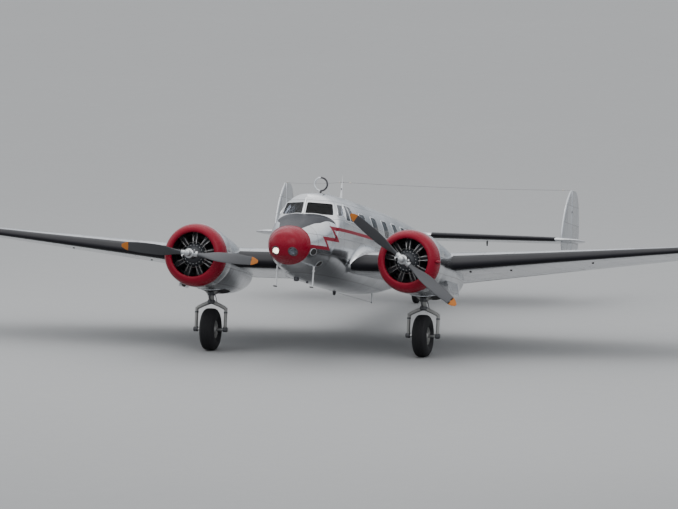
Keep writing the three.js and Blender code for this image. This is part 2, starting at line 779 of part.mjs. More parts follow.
function panePrism(side, grow) {
  const { across, up, out, foot } = paneFrame(side);
  const ring = (depth) =>
    PANE_CORNERS.map(([x, z]) => {
      const y = PANE_FOOT[1] - (out.x * side * x + out.z * (z - PANE_FOOT[2])) * (1 / out.y);
      return new THREE.Vector3(side * x, y, z)
        .addScaledVector(across, x > 100 ? grow : -grow)
        .addScaledVector(up, z > 1000 ? grow : -grow)
        .addScaledVector(out, depth);
    });
  return loft([ring(40), ring(-WALL - 12)]);
}

// Hinge knuckles in pairs on one line: the lower one is the fuselage's and the upper one the door's
function doorKnuckles(upper) {
  const { x, y, radius, heights, half } = DOOR_HINGE;
  return heights.map((z) => {
    const [low, high] = upper ? [z + SEAT_GAP / 2, z + half] : [z - half, z - SEAT_GAP / 2];
    const strap = upper
      ? box(x - 34, x + radius * 0.7, y, y + 90, low, high)
      : box(x - 34, x + radius * 0.7, y - 60, y, low, high);
    const knuckle = join(rod([x, y, low], [x, y, high], radius, radius, 12), strap);
    const behind = box(x - 60, x - radius - 1, y - 60, DOOR.front + DOOR.gap + 2, low - 5, high + 5);
    return upper ? cut(knuckle, behind) : knuckle;
  });
}

const seatSolid = (x) =>
  join(
    box(x - 60, x + 60, 2250, 2470, FLOOR_Z + SEAT_GAP, 260),
    box(x - 205, x + 205, 2130, 2590, 250, 345),
    loft([
      [[x - 200, 2520, 300], [x + 200, 2520, 300], [x + 200, 2600, 300], [x - 200, 2600, 300]],
      [[x - 170, 2620, 900], [x + 170, 2620, 900], [x + 170, 2680, 900], [x - 170, 2680, 900]],
    ].map((ring) => ring.map((p) => new THREE.Vector3(...p)))),
  );

// Aerials and air-data posts: each is drawn into the skin and cut back to it
const onSkin = (solid, up) => cut(solid, hullShape, hullShape.translate([0, 0, up * SEAT_GAP]));
const LOOP = { y: 2630, z: 1510, ring: 127, tube: 18, foot: 1270 };

function loopAerial() {
  const ring = new THREE.TorusGeometry(LOOP.ring, LOOP.tube, 8, 24);
  ring.rotateX(Math.PI / 2);
  ring.translate(0, LOOP.y, LOOP.z);
  const foot = rod([0, LOOP.y, LOOP.foot], [0, LOOP.y, LOOP.z - LOOP.ring], 26, 20, 10);
  return onSkin(join(solidOf(ring), foot), 1);
}

// Columns: name, from, to, radius at each end, which way the skin lies
const POSTS = [
  ["mast", [0, 4200, 1280], [0, 4240, 1660], 26, 9, 1],
  ["pitot_left", [360, 1000, -180], [360, 960, -560], 17, 12, -1],
  ["pitot_right", [-360, 1000, -180], [-360, 960, -560], 17, 12, -1],
  ["belly_post", [0, 6900, -260], [0, 6930, -520], 16, 8, -1],
];

// Assembly

const airframe = new THREE.Group();

function add(name, solid, material, parent = airframe) {
  const mesh = new THREE.Mesh(geometryOf(solid), material);
  mesh.name = name;
  parent.add(mesh);
  return mesh;
}

const roomShape = roomSolid(WALL);
const windowHoles = [1, -1].flatMap((side) => [
  panePrism(side, 0),
  ...SIDE_PANES.map(([, ...corners]) => sidePrism(side, corners, 0)),
]);
const tailGearPlace = new THREE.Matrix4()
  .makeRotationX(PARKED)
  .setPosition(0, TAIL_AXLE.y, TAIL_AXLE.z);
const tailSocket = solidOf(geometryOf(tailLeg(SEAT_GAP)).applyMatrix4(tailGearPlace));
const fuselageShape = join(
  cut(
    hullShape,
    cut(roomShape, centreWing(1000, 25)),
    ...wingTools,
    tailplaneSolid(SEAT_GAP),
    torqueTube(0.5),
    tailSocket,
    doorPrism(0, 0),
    ...windowHoles,
  ),
  ...doorKnuckles(false),
);

// The fuselage is bolted together at frames from four lengths. Columns: name, front y, rear y
const LENGTHS = [
  ["fuselage_front", 0, 3000],
  ["fuselage_middle", 3000, 6000],
  ["fuselage_rear", 6000, BULKHEAD_REAR],
  ["tail_cone", BULKHEAD_REAR, 12000],
];
for (const [name, front, rear] of LENGTHS) {
  const stretch = box(-2000, 2000, front + SEAT_GAP / 2, rear - SEAT_GAP / 2, -1000, 2000);
  add(name, fuselageShape.intersect(stretch), POLISHED);
}

const capRows = [...HOOD.filter((row) => row[0] < NOSE_CAP_END), between(HOOD, NOSE_CAP_END - SEAT_GAP)];
add("nose_cap", loft(capRows.map((row) => bodyRing(row))), RED);

const doorLeaf = cut(hullShape, roomSolid(DOOR.thick)).intersect(doorPrism(DOOR.gap, DOOR.rearGap));
add("cabin_door", join(doorLeaf, ...doorKnuckles(true)), POLISHED);

const glassSkin = cut(hullShape, roomSolid(12), box(-2000, 2000, 0, 1200, -1000, 2000));
for (const [word, side] of [["left", 1], ["right", -1]]) {
  add(`windscreen_${word}`, glassSkin.intersect(panePrism(side, -SEAT_GAP)), GLASS);
  for (const [name, ...corners] of SIDE_PANES)
    add(`${name}_${word}`, glassSkin.intersect(sidePrism(side, corners, -SEAT_GAP)), GLASS);
  add(`seat_${word}`, seatSolid(side * 300), LEATHER);
}
const panelBoard = box(-700, 700, 1760, 1785, 430, 800);
add("instrument_panel", panelBoard.intersect(roomSolid(WALL + SEAT_GAP)), PANEL_BLACK);

add("loop_aerial", loopAerial(), PANEL_BLACK);
for (const [name, from, to, r0, r1, up] of POSTS) add(name, onSkin(rod(from, to, r0, r1, 10), up), STEEL);

add("wing_centre", join(
  cut(
    centreWing(PANEL_X - SEAT_GAP / 2, 0),
    flapSolid(1, FLAP_SPANS.inner, FLAP.gap),
    flapSolid(-1, FLAP_SPANS.inner, FLAP.gap),
  ),
  ...flapPins(1, "inner"),
  ...flapPins(-1, "inner"),
), POLISHED);

for (const [word, side] of [["left", 1], ["right", -1]]) {
  const panel = cut(
    outerWing(side, 0, PANEL_X + SEAT_GAP / 2),
    flapSolid(side, FLAP_SPANS.outer, FLAP.gap),
    aileronSlot(side),
  );
  add(`wing_${word}`, join(panel, ...flapPins(side, "outer"), ...aileronPins(side)), POLISHED);
  add(`aileron_${word}`, aileronSolid(side), POLISHED);
  for (const [place, span] of Object.entries(FLAP_SPANS))
    add(`flap_${place}_${word}`, flapSolid(side, span, 0), POLISHED);

  const engine = new THREE.Group();
  engine.position.x = side * ENGINE_X;
  airframe.add(engine);
  const nacelleShape = loft(NACELLE.map((row) => bodyRing(row)));
  const wings = wingTools.map((tool) => tool.translate([-side * ENGINE_X, 0, 0]));
  add(`nacelle_${word}`, cut(nacelleShape, ...wings, legSockets()), POLISHED, engine);
  add(`cowl_${word}`, turned(COWL.map(([r, y]) => [r, y + COWL_LIP_Y]), COWL_SIDES), RED, engine);
  add(`engine_${word}`, engineSolid(), IRON, engine);
  add(`gear_leg_${word}`, legSolid(), STEEL, engine);
  add(`gear_door_${word}`, gearDoor(side, nacelleShape), POLISHED, engine);

  const propeller = add(`propeller_${word}`, propellerSolid(), BLADE, engine);
  propeller.position.y = PROPELLER_Y;
  propeller.rotation.y = THREE.MathUtils.degToRad(side > 0 ? 38 : 5);

  const wheel = new THREE.Group();
  wheel.position.set(0, MAIN_AXLE.y, MAIN_AXLE.z);
  wheel.rotation.x = PARKED;
  engine.add(wheel);
  const { tyre, hub } = wheelPieces(MAIN_TYRE_RADIUS, 145, 165, 30.3);
  add(`tyre_${word}`, tyre, TYRE, wheel);
  add(`hub_${word}`, hub, STEEL, wheel);

  add(`fin_${word}`, cut(finSolid(side), tailplaneSolid(SEAT_GAP)), POLISHED);
  add(`rudder_${word}`, rudderSolid(side), POLISHED);
}
add("tailplane", tailplaneSolid(0), POLISHED);
add("elevator", elevatorSolid(), POLISHED);

const tailGear = new THREE.Group();
tailGear.applyMatrix4(tailGearPlace);
airframe.add(tailGear);
add("tail_leg", tailLeg(), STEEL, tailGear);
add("tail_fork", tailFork(), STEEL, tailGear);
const tailWheel = wheelPieces(TAIL_TYRE_RADIUS, 62, 78, CASTER.axle + 0.3);
add("tail_tyre", tailWheel.tyre, TYRE, tailGear);
add("tail_hub", tailWheel.hub, STEEL, tailGear);

// The parked stance, with the origin under the middle of the whole
airframe.rotation.x = -PARKED;
airframe.updateMatrixWorld(true);
const reach = new THREE.Box3().setFromObject(airframe, true);
airframe.position.set(0, -(reach.min.y + reach.max.y) / 2, -reach.min.z);

const parked = new THREE.Group();
parked.add(airframe);
export default parked;
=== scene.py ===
import json
import math

import bmesh
import bpy
import numpy as np
from mathutils import Matrix, Vector

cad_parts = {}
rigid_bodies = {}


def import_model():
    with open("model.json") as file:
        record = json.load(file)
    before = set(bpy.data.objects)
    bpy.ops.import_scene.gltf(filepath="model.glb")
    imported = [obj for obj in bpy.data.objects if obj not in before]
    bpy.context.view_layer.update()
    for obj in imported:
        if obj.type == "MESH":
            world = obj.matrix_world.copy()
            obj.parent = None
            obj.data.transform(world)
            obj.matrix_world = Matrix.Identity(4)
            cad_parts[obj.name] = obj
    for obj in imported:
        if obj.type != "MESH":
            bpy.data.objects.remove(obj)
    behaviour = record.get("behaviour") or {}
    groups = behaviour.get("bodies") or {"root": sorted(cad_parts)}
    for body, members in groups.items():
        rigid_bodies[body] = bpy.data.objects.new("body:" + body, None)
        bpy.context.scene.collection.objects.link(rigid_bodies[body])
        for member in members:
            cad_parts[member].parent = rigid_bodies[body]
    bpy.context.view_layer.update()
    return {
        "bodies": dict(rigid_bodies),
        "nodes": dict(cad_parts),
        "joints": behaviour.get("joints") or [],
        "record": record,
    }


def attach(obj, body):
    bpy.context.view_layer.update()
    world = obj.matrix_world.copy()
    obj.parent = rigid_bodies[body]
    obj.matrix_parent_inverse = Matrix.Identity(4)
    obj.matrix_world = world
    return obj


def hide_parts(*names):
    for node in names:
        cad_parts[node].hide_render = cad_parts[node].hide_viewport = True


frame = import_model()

# Stance. The airliner rests nose-up on its tail wheel. Pieces are worked out on the level airframe, in metres:
# x to its own left, y aft of the nose tip, z above the thrust line, and are then turned to the parked stance.
hinges = {joint["name"]: joint for joint in frame["joints"]}
AFT = np.array(hinges["propeller_left_spin"]["axis"], float)
UP = np.array(hinges["rudder_left_hinge"]["axis"], float)
PROPELLER_PLACE = np.array([0, *hinges["propeller_left_spin"]["pos_m"][1:]], float)
PROPELLER_Y = 1.010


def stand(points):
    """Row-frame places of level points: x stays, y runs along AFT and z along UP, from the propellers' centres."""
    points = np.asarray(points, float)
    across = points[..., :1] * [1.0, 0.0, 0.0]
    return across + (points[..., 1:2] - PROPELLER_Y) * AFT + points[..., 2:3] * UP + PROPELLER_PLACE


def sheet(grid, around=False, ends=False, mark=0):
    """A skin over a grid of points (rows, columns, 3). around joins the last column to the first, and ends
    closes the first and last row by fans about their mean points. mark is the number of its finish."""
    grid = np.asarray(grid, float)
    rows, columns = grid.shape[:2]
    index = np.arange(rows * columns).reshape(rows, columns)
    here = index if around else index[:, :-1]
    beside = np.roll(index, -1, 1) if around else index[:, 1:]
    faces = np.stack([here[:-1], beside[:-1], beside[1:], here[1:]], -1).reshape(-1, 4).tolist()
    points = grid.reshape(-1, 3)
    if ends:
        middle = len(points)
        points = np.vstack([points, grid[0].mean(0), grid[-1].mean(0)])
        faces += np.stack([beside[0], here[0], np.full(here.shape[1], middle)], -1).tolist()
        faces += np.stack([here[-1], beside[-1], np.full(here.shape[1], middle + 1)], -1).tolist()
    return points, faces, mark


def solid(grid, mark=0):
    """The closed skin over rows of points that each run round a body."""
    return sheet(grid, around=True, ends=True, mark=mark)


def layered(outer, under):
    """A closed skin between two grids of points, an outer one and one that lies under it."""
    return solid(np.concatenate([outer, under[:, ::-1]], 1))


def spread(x, y, z):
    """Points from their three coordinates, each of them a number or an array."""
    return np.stack(np.broadcast_arrays(x, y, z), -1)


def flipped(shape):
    """The same shape on the other side of the airliner: x changes sign and each face runs the other way."""
    points, faces, mark = shape
    return points * [-1, 1, 1], [face[::-1] for face in faces], mark


def both(shape):
    """A shape on the left and its mirror image on the right."""
    return [shape, flipped(shape)]


def moved(shape, by):
    """The shape carried along by a distance in x, y and z."""
    return shape[0] + np.asarray(by, float), shape[1], shape[2]


def put(name, data):
    """A new object in the scene, at the origin and unturned."""
    made = bpy.data.objects.new(name, data)
    bpy.context.scene.collection.objects.link(made)
    return made


def smooth(mesh, crease):
    """Smooth shading with sharp edges where two faces meet at more than crease degrees."""
    mesh.polygons.foreach_set("use_smooth", np.ones(len(mesh.polygons), bool))
    mesh.set_sharp_from_angle(angle=math.radians(crease))
    mesh.update()


def joined(name, shapes, closed=True):
    """One mesh of several shapes. closed welds doubles and turns every face outwards."""
    points, faces, marks, count = [], [], [], 0
    for some, corners, mark in shapes:
        points.append(some)
        faces += [[corner + count for corner in face] for face in corners]
        marks += [mark] * len(corners)
        count += len(some)
    mesh = bpy.data.meshes.new(name)
    mesh.from_pydata(stand(np.vstack(points)).tolist(), [], faces)
    mesh.polygons.foreach_set("material_index", marks)
    if closed:
        work = bmesh.new()
        work.from_mesh(mesh)
        bmesh.ops.remove_doubles(work, verts=work.verts, dist=1e-5)
        bmesh.ops.recalc_face_normals(work, faces=work.faces)
        work.to_mesh(mesh)
        work.free()
    return mesh


def piece(name, shapes, body, slot, finishes, stands_for=(), closed=True, crease=32):
    """One object of several shapes on a body of the frame, with its finishes and the nodes it replaces."""
    mesh = joined(name, shapes, closed)
    smooth(mesh, crease)
    made = put(name, mesh)
    for one in finishes if isinstance(finishes, (list, tuple)) else [finishes]:
        mesh.materials.append(one)
    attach(made, body)
    if stands_for:
        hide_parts(*stands_for)
    return made


def pair(name, shapes, body, slot, finishes, stands_for=(), apart=None, **ways):
    """A piece on the left and its twin on the right, mirrored or carried out to the distance apart on its own
    side. The brackets in the names stand for the side."""
    twins = []
    for word, side in (("left", 1), ("right", -1)):
        if apart:
            own = [moved(shape, (side * apart, 0, 0)) for shape in shapes]
        else:
            own = [flipped(shape) for shape in shapes] if side < 0 else shapes
        nodes = [node.format(word) for node in stands_for]
        twins.append(piece(name.format(word), own, body.format(word), slot, finishes, nodes, **ways))
    return twins


def carve(target, shapes, crease=32):
    """Takes closed shapes out of a closed piece."""
    tool = put("carving", joined("carving", [(points, faces, 0) for points, faces, _ in shapes]))
    cutting = target.modifiers.new("carve", "BOOLEAN")
    cutting.object, cutting.operation, cutting.solver = tool, "DIFFERENCE", "MANIFOLD"
    bpy.context.view_layer.update()
    whole = target.evaluated_get(bpy.context.evaluated_depsgraph_get())
    carved = bpy.data.meshes.new_from_object(whole)
    target.modifiers.clear()
    target.data = carved
    bpy.data.objects.remove(tool)
    smooth(carved, crease)


def workshop(name):
    """A new material, the call that feeds its shader, and makers of nodes: any node, arithmetic, a change of
    range, and noise. Their inputs are values or other nodes' outputs."""
    material = bpy.data.materials.new(name)
    material.use_nodes = True
    tree = material.node_tree
    shader = tree.nodes["Principled BSDF"]

    def feed(socket, value):
        if isinstance(value, bpy.types.NodeSocket):
            tree.links.new(value, socket)
        else:
            socket.default_value = value

    def add(kind, inputs=None, out=0, **settings):
        made = tree.nodes.new("ShaderNode" + kind)
        for key, value in settings.items():
            setattr(made, key, value)
        for key, value in (inputs or {}).items():
            feed(made.inputs[key], value)
        return made.outputs[out]

    def reckon(operation, *values):
        return add("Math", dict(enumerate(values)), operation=operation)

    def span(*values):
        return add("MapRange", dict(enumerate(values)))

    def noise(place, scale, detail, rough=0.5):
        return add("TexNoise", {"Vector": place, "Scale": scale, "Detail": detail, "Roughness": rough})

    def coat(**values):
        for key, value in values.items():
            feed(shader.inputs[key.replace("_", " ")], value)

    return material, coat, add, reckon, span, noise


def metal_sheet(name, seams, tone=(0.63, 0.645, 0.665), rough=0.13, wave=0.25):
    """Polished sheets riveted edge to edge. seams gives the axis, pitch and start of two sets of seams. Each
    sheet has its own slight tone and polish, its edges are fine dark lines with rivet dots beside them, and
    the surface between them is a little wavy."""
    material, coat, add, reckon, span, noise = workshop(name)
    rivet_gap = 0.014  # from a seam to its rivets, and half the step between two of them
    place = add("Mapping", {
        "Vector": add("TexCoord", out=3), "Rotation": (math.atan2(-AFT[2], AFT[1]), 0, 0),
        "Location": (0, PROPELLER_Y - PROPELLER_PLACE @ AFT, -PROPELLER_PLACE @ UP),
    })
    level = dict(zip("XYZ", add("SeparateXYZ", {"Vector": place}).node.outputs))
    lines, cells, near, dots = [], [], [], []
    for axis, pitch, start in seams:
        along = reckon("SUBTRACT", level[axis], start)
        near.append(reckon("PINGPONG", along, pitch / 2))
        cells.append(reckon("FLOOR", reckon("DIVIDE", along, pitch)))
        lines.append(span(near[-1], 0.0012, 0.006, 1.0, 0.0))
    for gap, (axis, _, _) in zip(near, seams[::-1]):
        beside = reckon("SUBTRACT", gap, rivet_gap)
        step = reckon("PINGPONG", level[axis], rivet_gap)
        square = reckon("MULTIPLY_ADD", step, step, reckon("MULTIPLY", beside, beside))
        dots.append(span(square, 0.000012, 0.00002, 1.0, 0.0))
    line = reckon("MAXIMUM", *lines)
    own = add("TexWhiteNoise", {"Vector": add("CombineXYZ", dict(enumerate(cells)))}, noise_dimensions="3D")
    scuff = span(noise(place, 2.3, 3.0, 0.55), 0.35, 0.75, 0.0, 1.0)
    shade = reckon("MULTIPLY_ADD", scuff, -0.06, span(own, 0.0, 1.0, 0.84, 1.0))
    shade = reckon("MULTIPLY_ADD", line, -0.5, shade)
    polish = reckon("MULTIPLY_ADD", noise(place, 60.0, 4.0, 0.6), 0.10, span(own, 0.0, 1.0, rough * 0.8, rough * 1.25))
    polish = reckon("MULTIPLY_ADD", scuff, 0.08, polish)
    height = reckon("MULTIPLY", noise(place, 4.5, 1.5), 0.004 * wave)
    height = reckon("MULTIPLY_ADD", reckon("MAXIMUM", *dots), 0.0009, height)
    height = reckon("MULTIPLY_ADD", line, -0.0012, height)
    colour = add("VectorMath", {0: tone, 3: shade}, operation="SCALE")
    bump = add("Bump", {"Height": height, "Strength": 1.0, "Distance": 1.0})
    coat(Base_Color=colour, Metallic=1.0, Roughness=polish, Normal=bump)
    return material


def painted(name, tone, rough=0.35, metal=0.0, mottle=0.12, grain=90.0, relief=0.0003, clear=0.0, shine=0.5):
    """Paint, cast metal, rubber or cloth of one tone: two sizes of noise change the tone and the gloss a
    little, and fine noise raises the surface."""
    material, coat, add, reckon, span, noise = workshop(name)
    place = add("TexCoord", out=3)
    fine = noise(place, grain, 5.0, 0.65)
    grains = reckon("ADD", noise(place, grain / 22, 3.0, 0.6), fine)
    shade = span(grains, 0.6, 1.4, 1 - mottle, 1 + mottle)
    gloss = span(grains, 0.6, 1.4, rough * 0.85, min(1.0, rough * 1.2))
    colour = add("VectorMath", {0: tone, 3: shade}, operation="SCALE")
    bump = add("Bump", {"Height": reckon("MULTIPLY", fine, relief), "Strength": 1.0, "Distance": 1.0})
    coat(Base_Color=colour, Metallic=metal, Roughness=gloss, Normal=bump, Specular_IOR_Level=shine)
    if clear:
        coat(Coat_Weight=clear, Coat_Roughness=0.08)
    return material


# Fuselage. Riveted polished sheet over frames and stringers, an oval tube that is deepest over the wing and
# runs out to a point aft of the tailplane. The hood in front carries the cockpit's V windscreen.
# Columns: y, half width, top, widest line, bottom, roundness above and below (2 is an ellipse)
HOOD = np.array([
    [0.012, 0.090, 0.260, 0.175, 0.095, 2, 2], [0.060, 0.205, 0.365, 0.175, -0.005, 2, 2],
    [0.160, 0.300, 0.452, 0.178, -0.088, 2, 2], [0.300, 0.370, 0.515, 0.182, -0.145, 2.05, 2],
    [0.450, 0.415, 0.553, 0.188, -0.186, 2.15, 2], [0.700, 0.478, 0.624, 0.205, -0.242, 2.35, 2.05],
    [1.000, 0.540, 0.716, 0.230, -0.292, 2.7, 2.1], [1.370, 0.600, 0.846, 0.270, -0.342, 3.1, 2.15],
    [1.750, 0.640, 0.868, 0.320, -0.378, 3.3, 2.2], [2.100, 0.650, 0.860, 0.360, -0.395, 3.3, 2.2],
])
CABIN = np.array([
    [1.150, 0.555, 1.100, 0.248, -0.310, 2.3, 2.1], [1.370, 0.606, 1.190, 0.280, -0.346, 2.3, 2.15],
    [1.750, 0.655, 1.262, 0.330, -0.388, 2.3, 2.2], [2.300, 0.695, 1.318, 0.380, -0.422, 2.3, 2.25],
    [3.000, 0.712, 1.330, 0.410, -0.444, 2.3, 2.3], [4.500, 0.716, 1.316, 0.420, -0.450, 2.3, 2.3],
    [5.800, 0.705, 1.290, 0.430, -0.412, 2.3, 2.3], [6.800, 0.668, 1.262, 0.450, -0.320, 2.25, 2.25],
    [7.800, 0.600, 1.232, 0.490, -0.170, 2.2, 2.2], [8.800, 0.500, 1.192, 0.560, 0.030, 2.15, 2.15],
    [9.700, 0.385, 1.146, 0.650, 0.255, 2.1, 2.1], [10.500, 0.265, 1.094, 0.740, 0.470, 2, 2],
    [11.100, 0.160, 1.040, 0.800, 0.640, 2, 2], [11.380, 0.070, 0.970, 0.830, 0.740, 2, 2],
    [11.450, 0.018, 0.890, 0.850, 0.815, 2, 2],
])
CABIN_START, HOOD_END, NOSE_CAP_END = 1.15, 2.1, 0.450
SCREEN_Y, SCREEN_Z = 1.370, 0.852  # foot of the windscreen on the centre line
SCREEN_SWEEP, SCREEN_RAKE = 0.75868, 0.65891  # how far it runs aft for each metre outwards and upwards
BROW = 0.016  # softness of the edge between the windscreen's planes and the roof


def faired(table, at):
    """A table's other columns at the stations `at`, as smooth cubics whose slopes come from the neighbours."""
    stations, values = table[:, 0], table[:, 1:]
    slopes = np.gradient(values, stations, axis=0)
    at = np.clip(np.asarray(at, float), stations[0], stations[-1])
    k = np.clip(np.searchsorted(stations, at, side="right") - 1, 0, len(stations) - 2)
    gap = (stations[k + 1] - stations[k])[..., None]
    t = (at - stations[k])[..., None] / gap
    return (
        (2 * t**3 - 3 * t**2 + 1) * values[k] + (t**3 - 2 * t**2 + t) * gap * slopes[k]
        + (3 * t**2 - 2 * t**3) * values[k + 1] + (t**3 - t**2) * gap * slopes[k + 1]
    )


def half_width(table, y, z):
    """Half width of a body at station y and height z: half * (1 - (rise / full rise) ** p) ** (1 / p)."""
    half, top, wide, bottom, upper, lower = np.moveaxis(faired(table, y), -1, 0)
    above = z > wide
    power = np.where(above, upper, lower)
    share = np.clip(np.abs(z - wide) / np.where(above, top - wide, wide - bottom), 0, 1)
    return half * (1 - share**power) ** (1 / power)


def windscreen_y(x, z):
    """Station of the V windscreen's two planes at x and z."""
    return SCREEN_Y + SCREEN_SWEEP * np.abs(x) + SCREEN_RAKE * (z - SCREEN_Z)


def hull_side(y, z):
    """Half width of the whole hull: the wider of the hood and of the cabin, which ends at the windscreen."""
    y, z = np.broadcast_arrays(np.asarray(y, float), np.asarray(z, float))
    hood = np.where(y < HOOD_END, half_width(HOOD, y, z), 0)
    cabin = np.where(y > CABIN_START, half_width(CABIN, y, z), 0)
    front = (y - SCREEN_Y - SCREEN_RAKE * (z - SCREEN_Z)) / SCREEN_SWEEP
    return np.maximum(hood, np.minimum(cabin, np.maximum(front, 0)))


def hull_reach(table, y, angle, centre, inset=0.0):
    """Distance from the line x = 0, z = centre out to a body's outline, found by halving the step 40 times."""
    half, top, wide, bottom, upper, lower = np.moveaxis(faired(table, y), -1, 0)
    half, top, bottom = half - inset, top - inset, bottom + inset
    low, high = np.zeros(np.broadcast(y, angle).shape), np.full(np.broadcast(y, angle).shape, 2.0)
    for _ in range(40):
        middle = (low + high) / 2
        x, z = middle * np.cos(angle), centre + middle * np.sin(angle) - wide
        power = np.where(z > 0, upper, lower)
        inside = (np.abs(x) / half) ** power + (np.abs(z) / np.where(z > 0, top - wide, wide - bottom)) ** power < 1
        low, high = np.where(inside, middle, low), np.where(inside, high, middle)
    return low


def hull_middle(y):
    """Height about which the hull's outline turns at y."""
    return np.interp(y, [0, 1.5, 5.8, 11.45], [0.178, 0.28, 0.43, 0.85])


def hull_grid(stations, columns, inset=0.0):
    """The hull's skin, or the skin this far inside it, as rows of points round the line through its middle."""
    y = np.asarray(stations, float)[:, None]
    angle = (np.arange(columns) * 2 * np.pi / columns)[None, :]
    centre = hull_middle(y)
    slope = SCREEN_SWEEP * np.abs(np.cos(angle)) + SCREEN_RAKE * np.sin(angle)
    front = y - inset * 1.4 - SCREEN_Y + SCREEN_RAKE * (SCREEN_Z - centre)
    trim = np.where(slope > 1e-6, np.maximum(front, 0) / np.maximum(slope, 1e-6), 9.0)
    full = hull_reach(CABIN, y, angle, centre, inset)
    soft = np.minimum(full, trim) - BROW * np.log1p(np.exp(-np.abs(full - trim) / BROW))
    cabin = np.where(y >= CABIN_START, np.maximum(soft, 0), 0)
    hood = np.where(y <= HOOD_END, hull_reach(HOOD, y, angle, centre, inset), 0)
    reach = np.maximum(cabin, hood)
    return spread(reach * np.cos(angle), y, centre + reach * np.sin(angle))


SKIN_SHEETS = metal_sheet("polished_fuselage_sheets", [("Y", 0.62, 0.15), ("Z", 0.36, 0.06)])
LINING = painted("cabin_lining_cloth", (0.24, 0.225, 0.20), 0.85, grain=220, relief=0.0006)
outside = np.concatenate([
    np.linspace(NOSE_CAP_END, 1.35, 32), np.arange(1.366, 2.14, 0.016), np.linspace(2.16, 11.3, 150),
    [11.32, 11.35, 11.38, 11.41, 11.435, 11.45],
])
inner_points, inner_faces, _ = solid(hull_grid(np.linspace(1.42, 8.3, 90), 96, 0.045))
fuselage = piece(
    "fuselage_skin", [solid(hull_grid(outside, 128)), (inner_points, [face[::-1] for face in inner_faces], 1)],
    "airframe", "polished", [SKIN_SHEETS, LINING],
    ["fuselage_front", "fuselage_middle", "fuselage_rear", "tail_cone"], closed=False, crease=24,
)

# Windows. Panes of grey-tinted sheet in riveted metal frames, let into holes cut through the cabin wall: two in the
# V windscreen, two sliding ones on each side of the cockpit and five cabin windows a side. The tint is painted
# shade: it darkens the cabin seen through the panes.
WINDSCREEN_PANE = [(0.034, 0.858), (0.508, 0.858), (0.452, 1.083), (0.034, 1.090)]
COCKPIT_PANES = {
    "front": [(1.835, 0.860), (2.160, 0.864), (2.350, 1.085), (2.030, 1.078)],
    "rear": [(2.245, 0.800), (2.830, 0.800), (2.800, 1.080), (2.440, 1.094)],
}
SCREEN_SLANT = 1.41877  # the length of the left pane's normal where its part along y is 1
CABIN_WINDOWS = [(3.50, 0.83), (4.40, 0.83), (5.25, 0.82), (6.10, 0.82), (6.93, 0.81)]


def rounded(corners, radius, step=0.05):
    """A closed outline through 2-D corners. Each corner becomes the quadratic curve that starts and ends
    `radius` away from it, and the straight stretches between are divided into equal steps."""
    corners = np.asarray(corners, float)
    before, after = np.roll(corners, 1, 0) - corners, np.roll(corners, -1, 0) - corners
    start = corners + before / np.linalg.norm(before, axis=1)[:, None] * radius
    end = corners + after / np.linalg.norm(after, axis=1)[:, None] * radius
    t = np.linspace(0, 1, 6)[None, :, None]
    arc = (1 - t) ** 2 * start[:, None] + 2 * t * (1 - t) * corners[:, None] + t**2 * end[:, None]
    runs = []
    for k, stop in enumerate(np.roll(start, -1, 0)):
        count = max(1, int(np.linalg.norm(stop - end[k]) / step))
        runs += [arc[k], np.linspace(end[k], stop, count + 1)[1:-1]]
    return np.vstack(runs)


def oblong(low, high, radius):
    """A rounded oblong between two opposite corners."""
    return rounded([low, (high[0], low[1]), high, (low[0], high[1])], radius)


def grown(outline, by):
    """A closed outline moved outwards: each point goes along the mean of its two edges' normals."""
    edge = np.roll(outline, -1, 0) - outline
    normal = np.stack([edge[:, 1], -edge[:, 0]], -1) / np.linalg.norm(edge, axis=1)[:, None]
    normal = normal + np.roll(normal, 1, 0)
    normal /= np.linalg.norm(normal, axis=1)[:, None]
    x, y = outline.T
    turn = np.sign((x * np.roll(y, -1) - y * np.roll(x, -1)).sum())
    return outline + normal * by * turn


def on_side(flat, lift):
    """Points (y, z) put on the left side of the hull, and lifted off it across the airliner."""
    y, z = flat[..., 0], flat[..., 1]
    return spread(hull_side(y, z) + lift, y, z)


def on_windscreen(flat, lift):
    """Points (x, z) put on the left pane's plane, and lifted along its normal."""
    x, z = flat[..., 0], flat[..., 1]
    return spread(x, windscreen_y(x, z), z) + np.array([SCREEN_SWEEP, -1.0, SCREEN_RAKE]) / SCREEN_SLANT * lift


def plate(outline, surface, lift, depth, mark=0, rings=6):
    """A thin closed plate on a surface: shrunken copies of the outline from its middle out to its edge, and
    back again this much deeper."""
    share = np.linspace(0, 1, rings)[:, None, None]
    middle = outline.mean(0)
    flat = middle + (outline - middle)[None] * share
    outer, under = surface(flat, lift), surface(flat, lift - depth)
    return sheet(np.concatenate([outer, under[::-1]]), around=True, mark=mark)


def rim(outline, surface, width, lift, depth, mark=0):
    """A frame round an outline: inner and outer edges at the top and at the bottom, joined to a ring."""
    wide = grown(outline, width)
    rows = [
        surface(outline, lift * 0.6), surface(grown(outline, width * 0.5), lift), surface(wide, lift * 0.6),
        surface(wide, lift - depth), surface(outline, lift - depth), surface(outline, lift * 0.6),
    ]
    return sheet(np.stack(rows), around=True, mark=mark)


def prism(outline, x0, x1):
    """A closed bar with an outline in (y, z) that runs from x0 to x1."""
    return solid([spread(x, *outline.T) for x in (x0, x1)])


cabin_outlines = [oblong((y - 0.2, z - 0.165), (y + 0.2, z + 0.165), 0.08) for y, z in CABIN_WINDOWS]
cockpit_outlines = [rounded(corners, 0.035) for corners in COCKPIT_PANES.values()]
pane_outline = rounded(WINDSCREEN_PANE, 0.03)
DOOR_HOLE = oblong((7.280, -0.020), (7.940, 1.000), 0.09)
holes = [hole for outline in cabin_outlines + cockpit_outlines for hole in both(prism(outline, 0.2, 1.2))]
pane_hole = solid(np.stack([on_windscreen(pane_outline, lift) for lift in (0.05, -0.16)]))
carve(fuselage, [*holes, prism(DOOR_HOLE, 0.2, 1.2), *both(pane_hole)], crease=24)
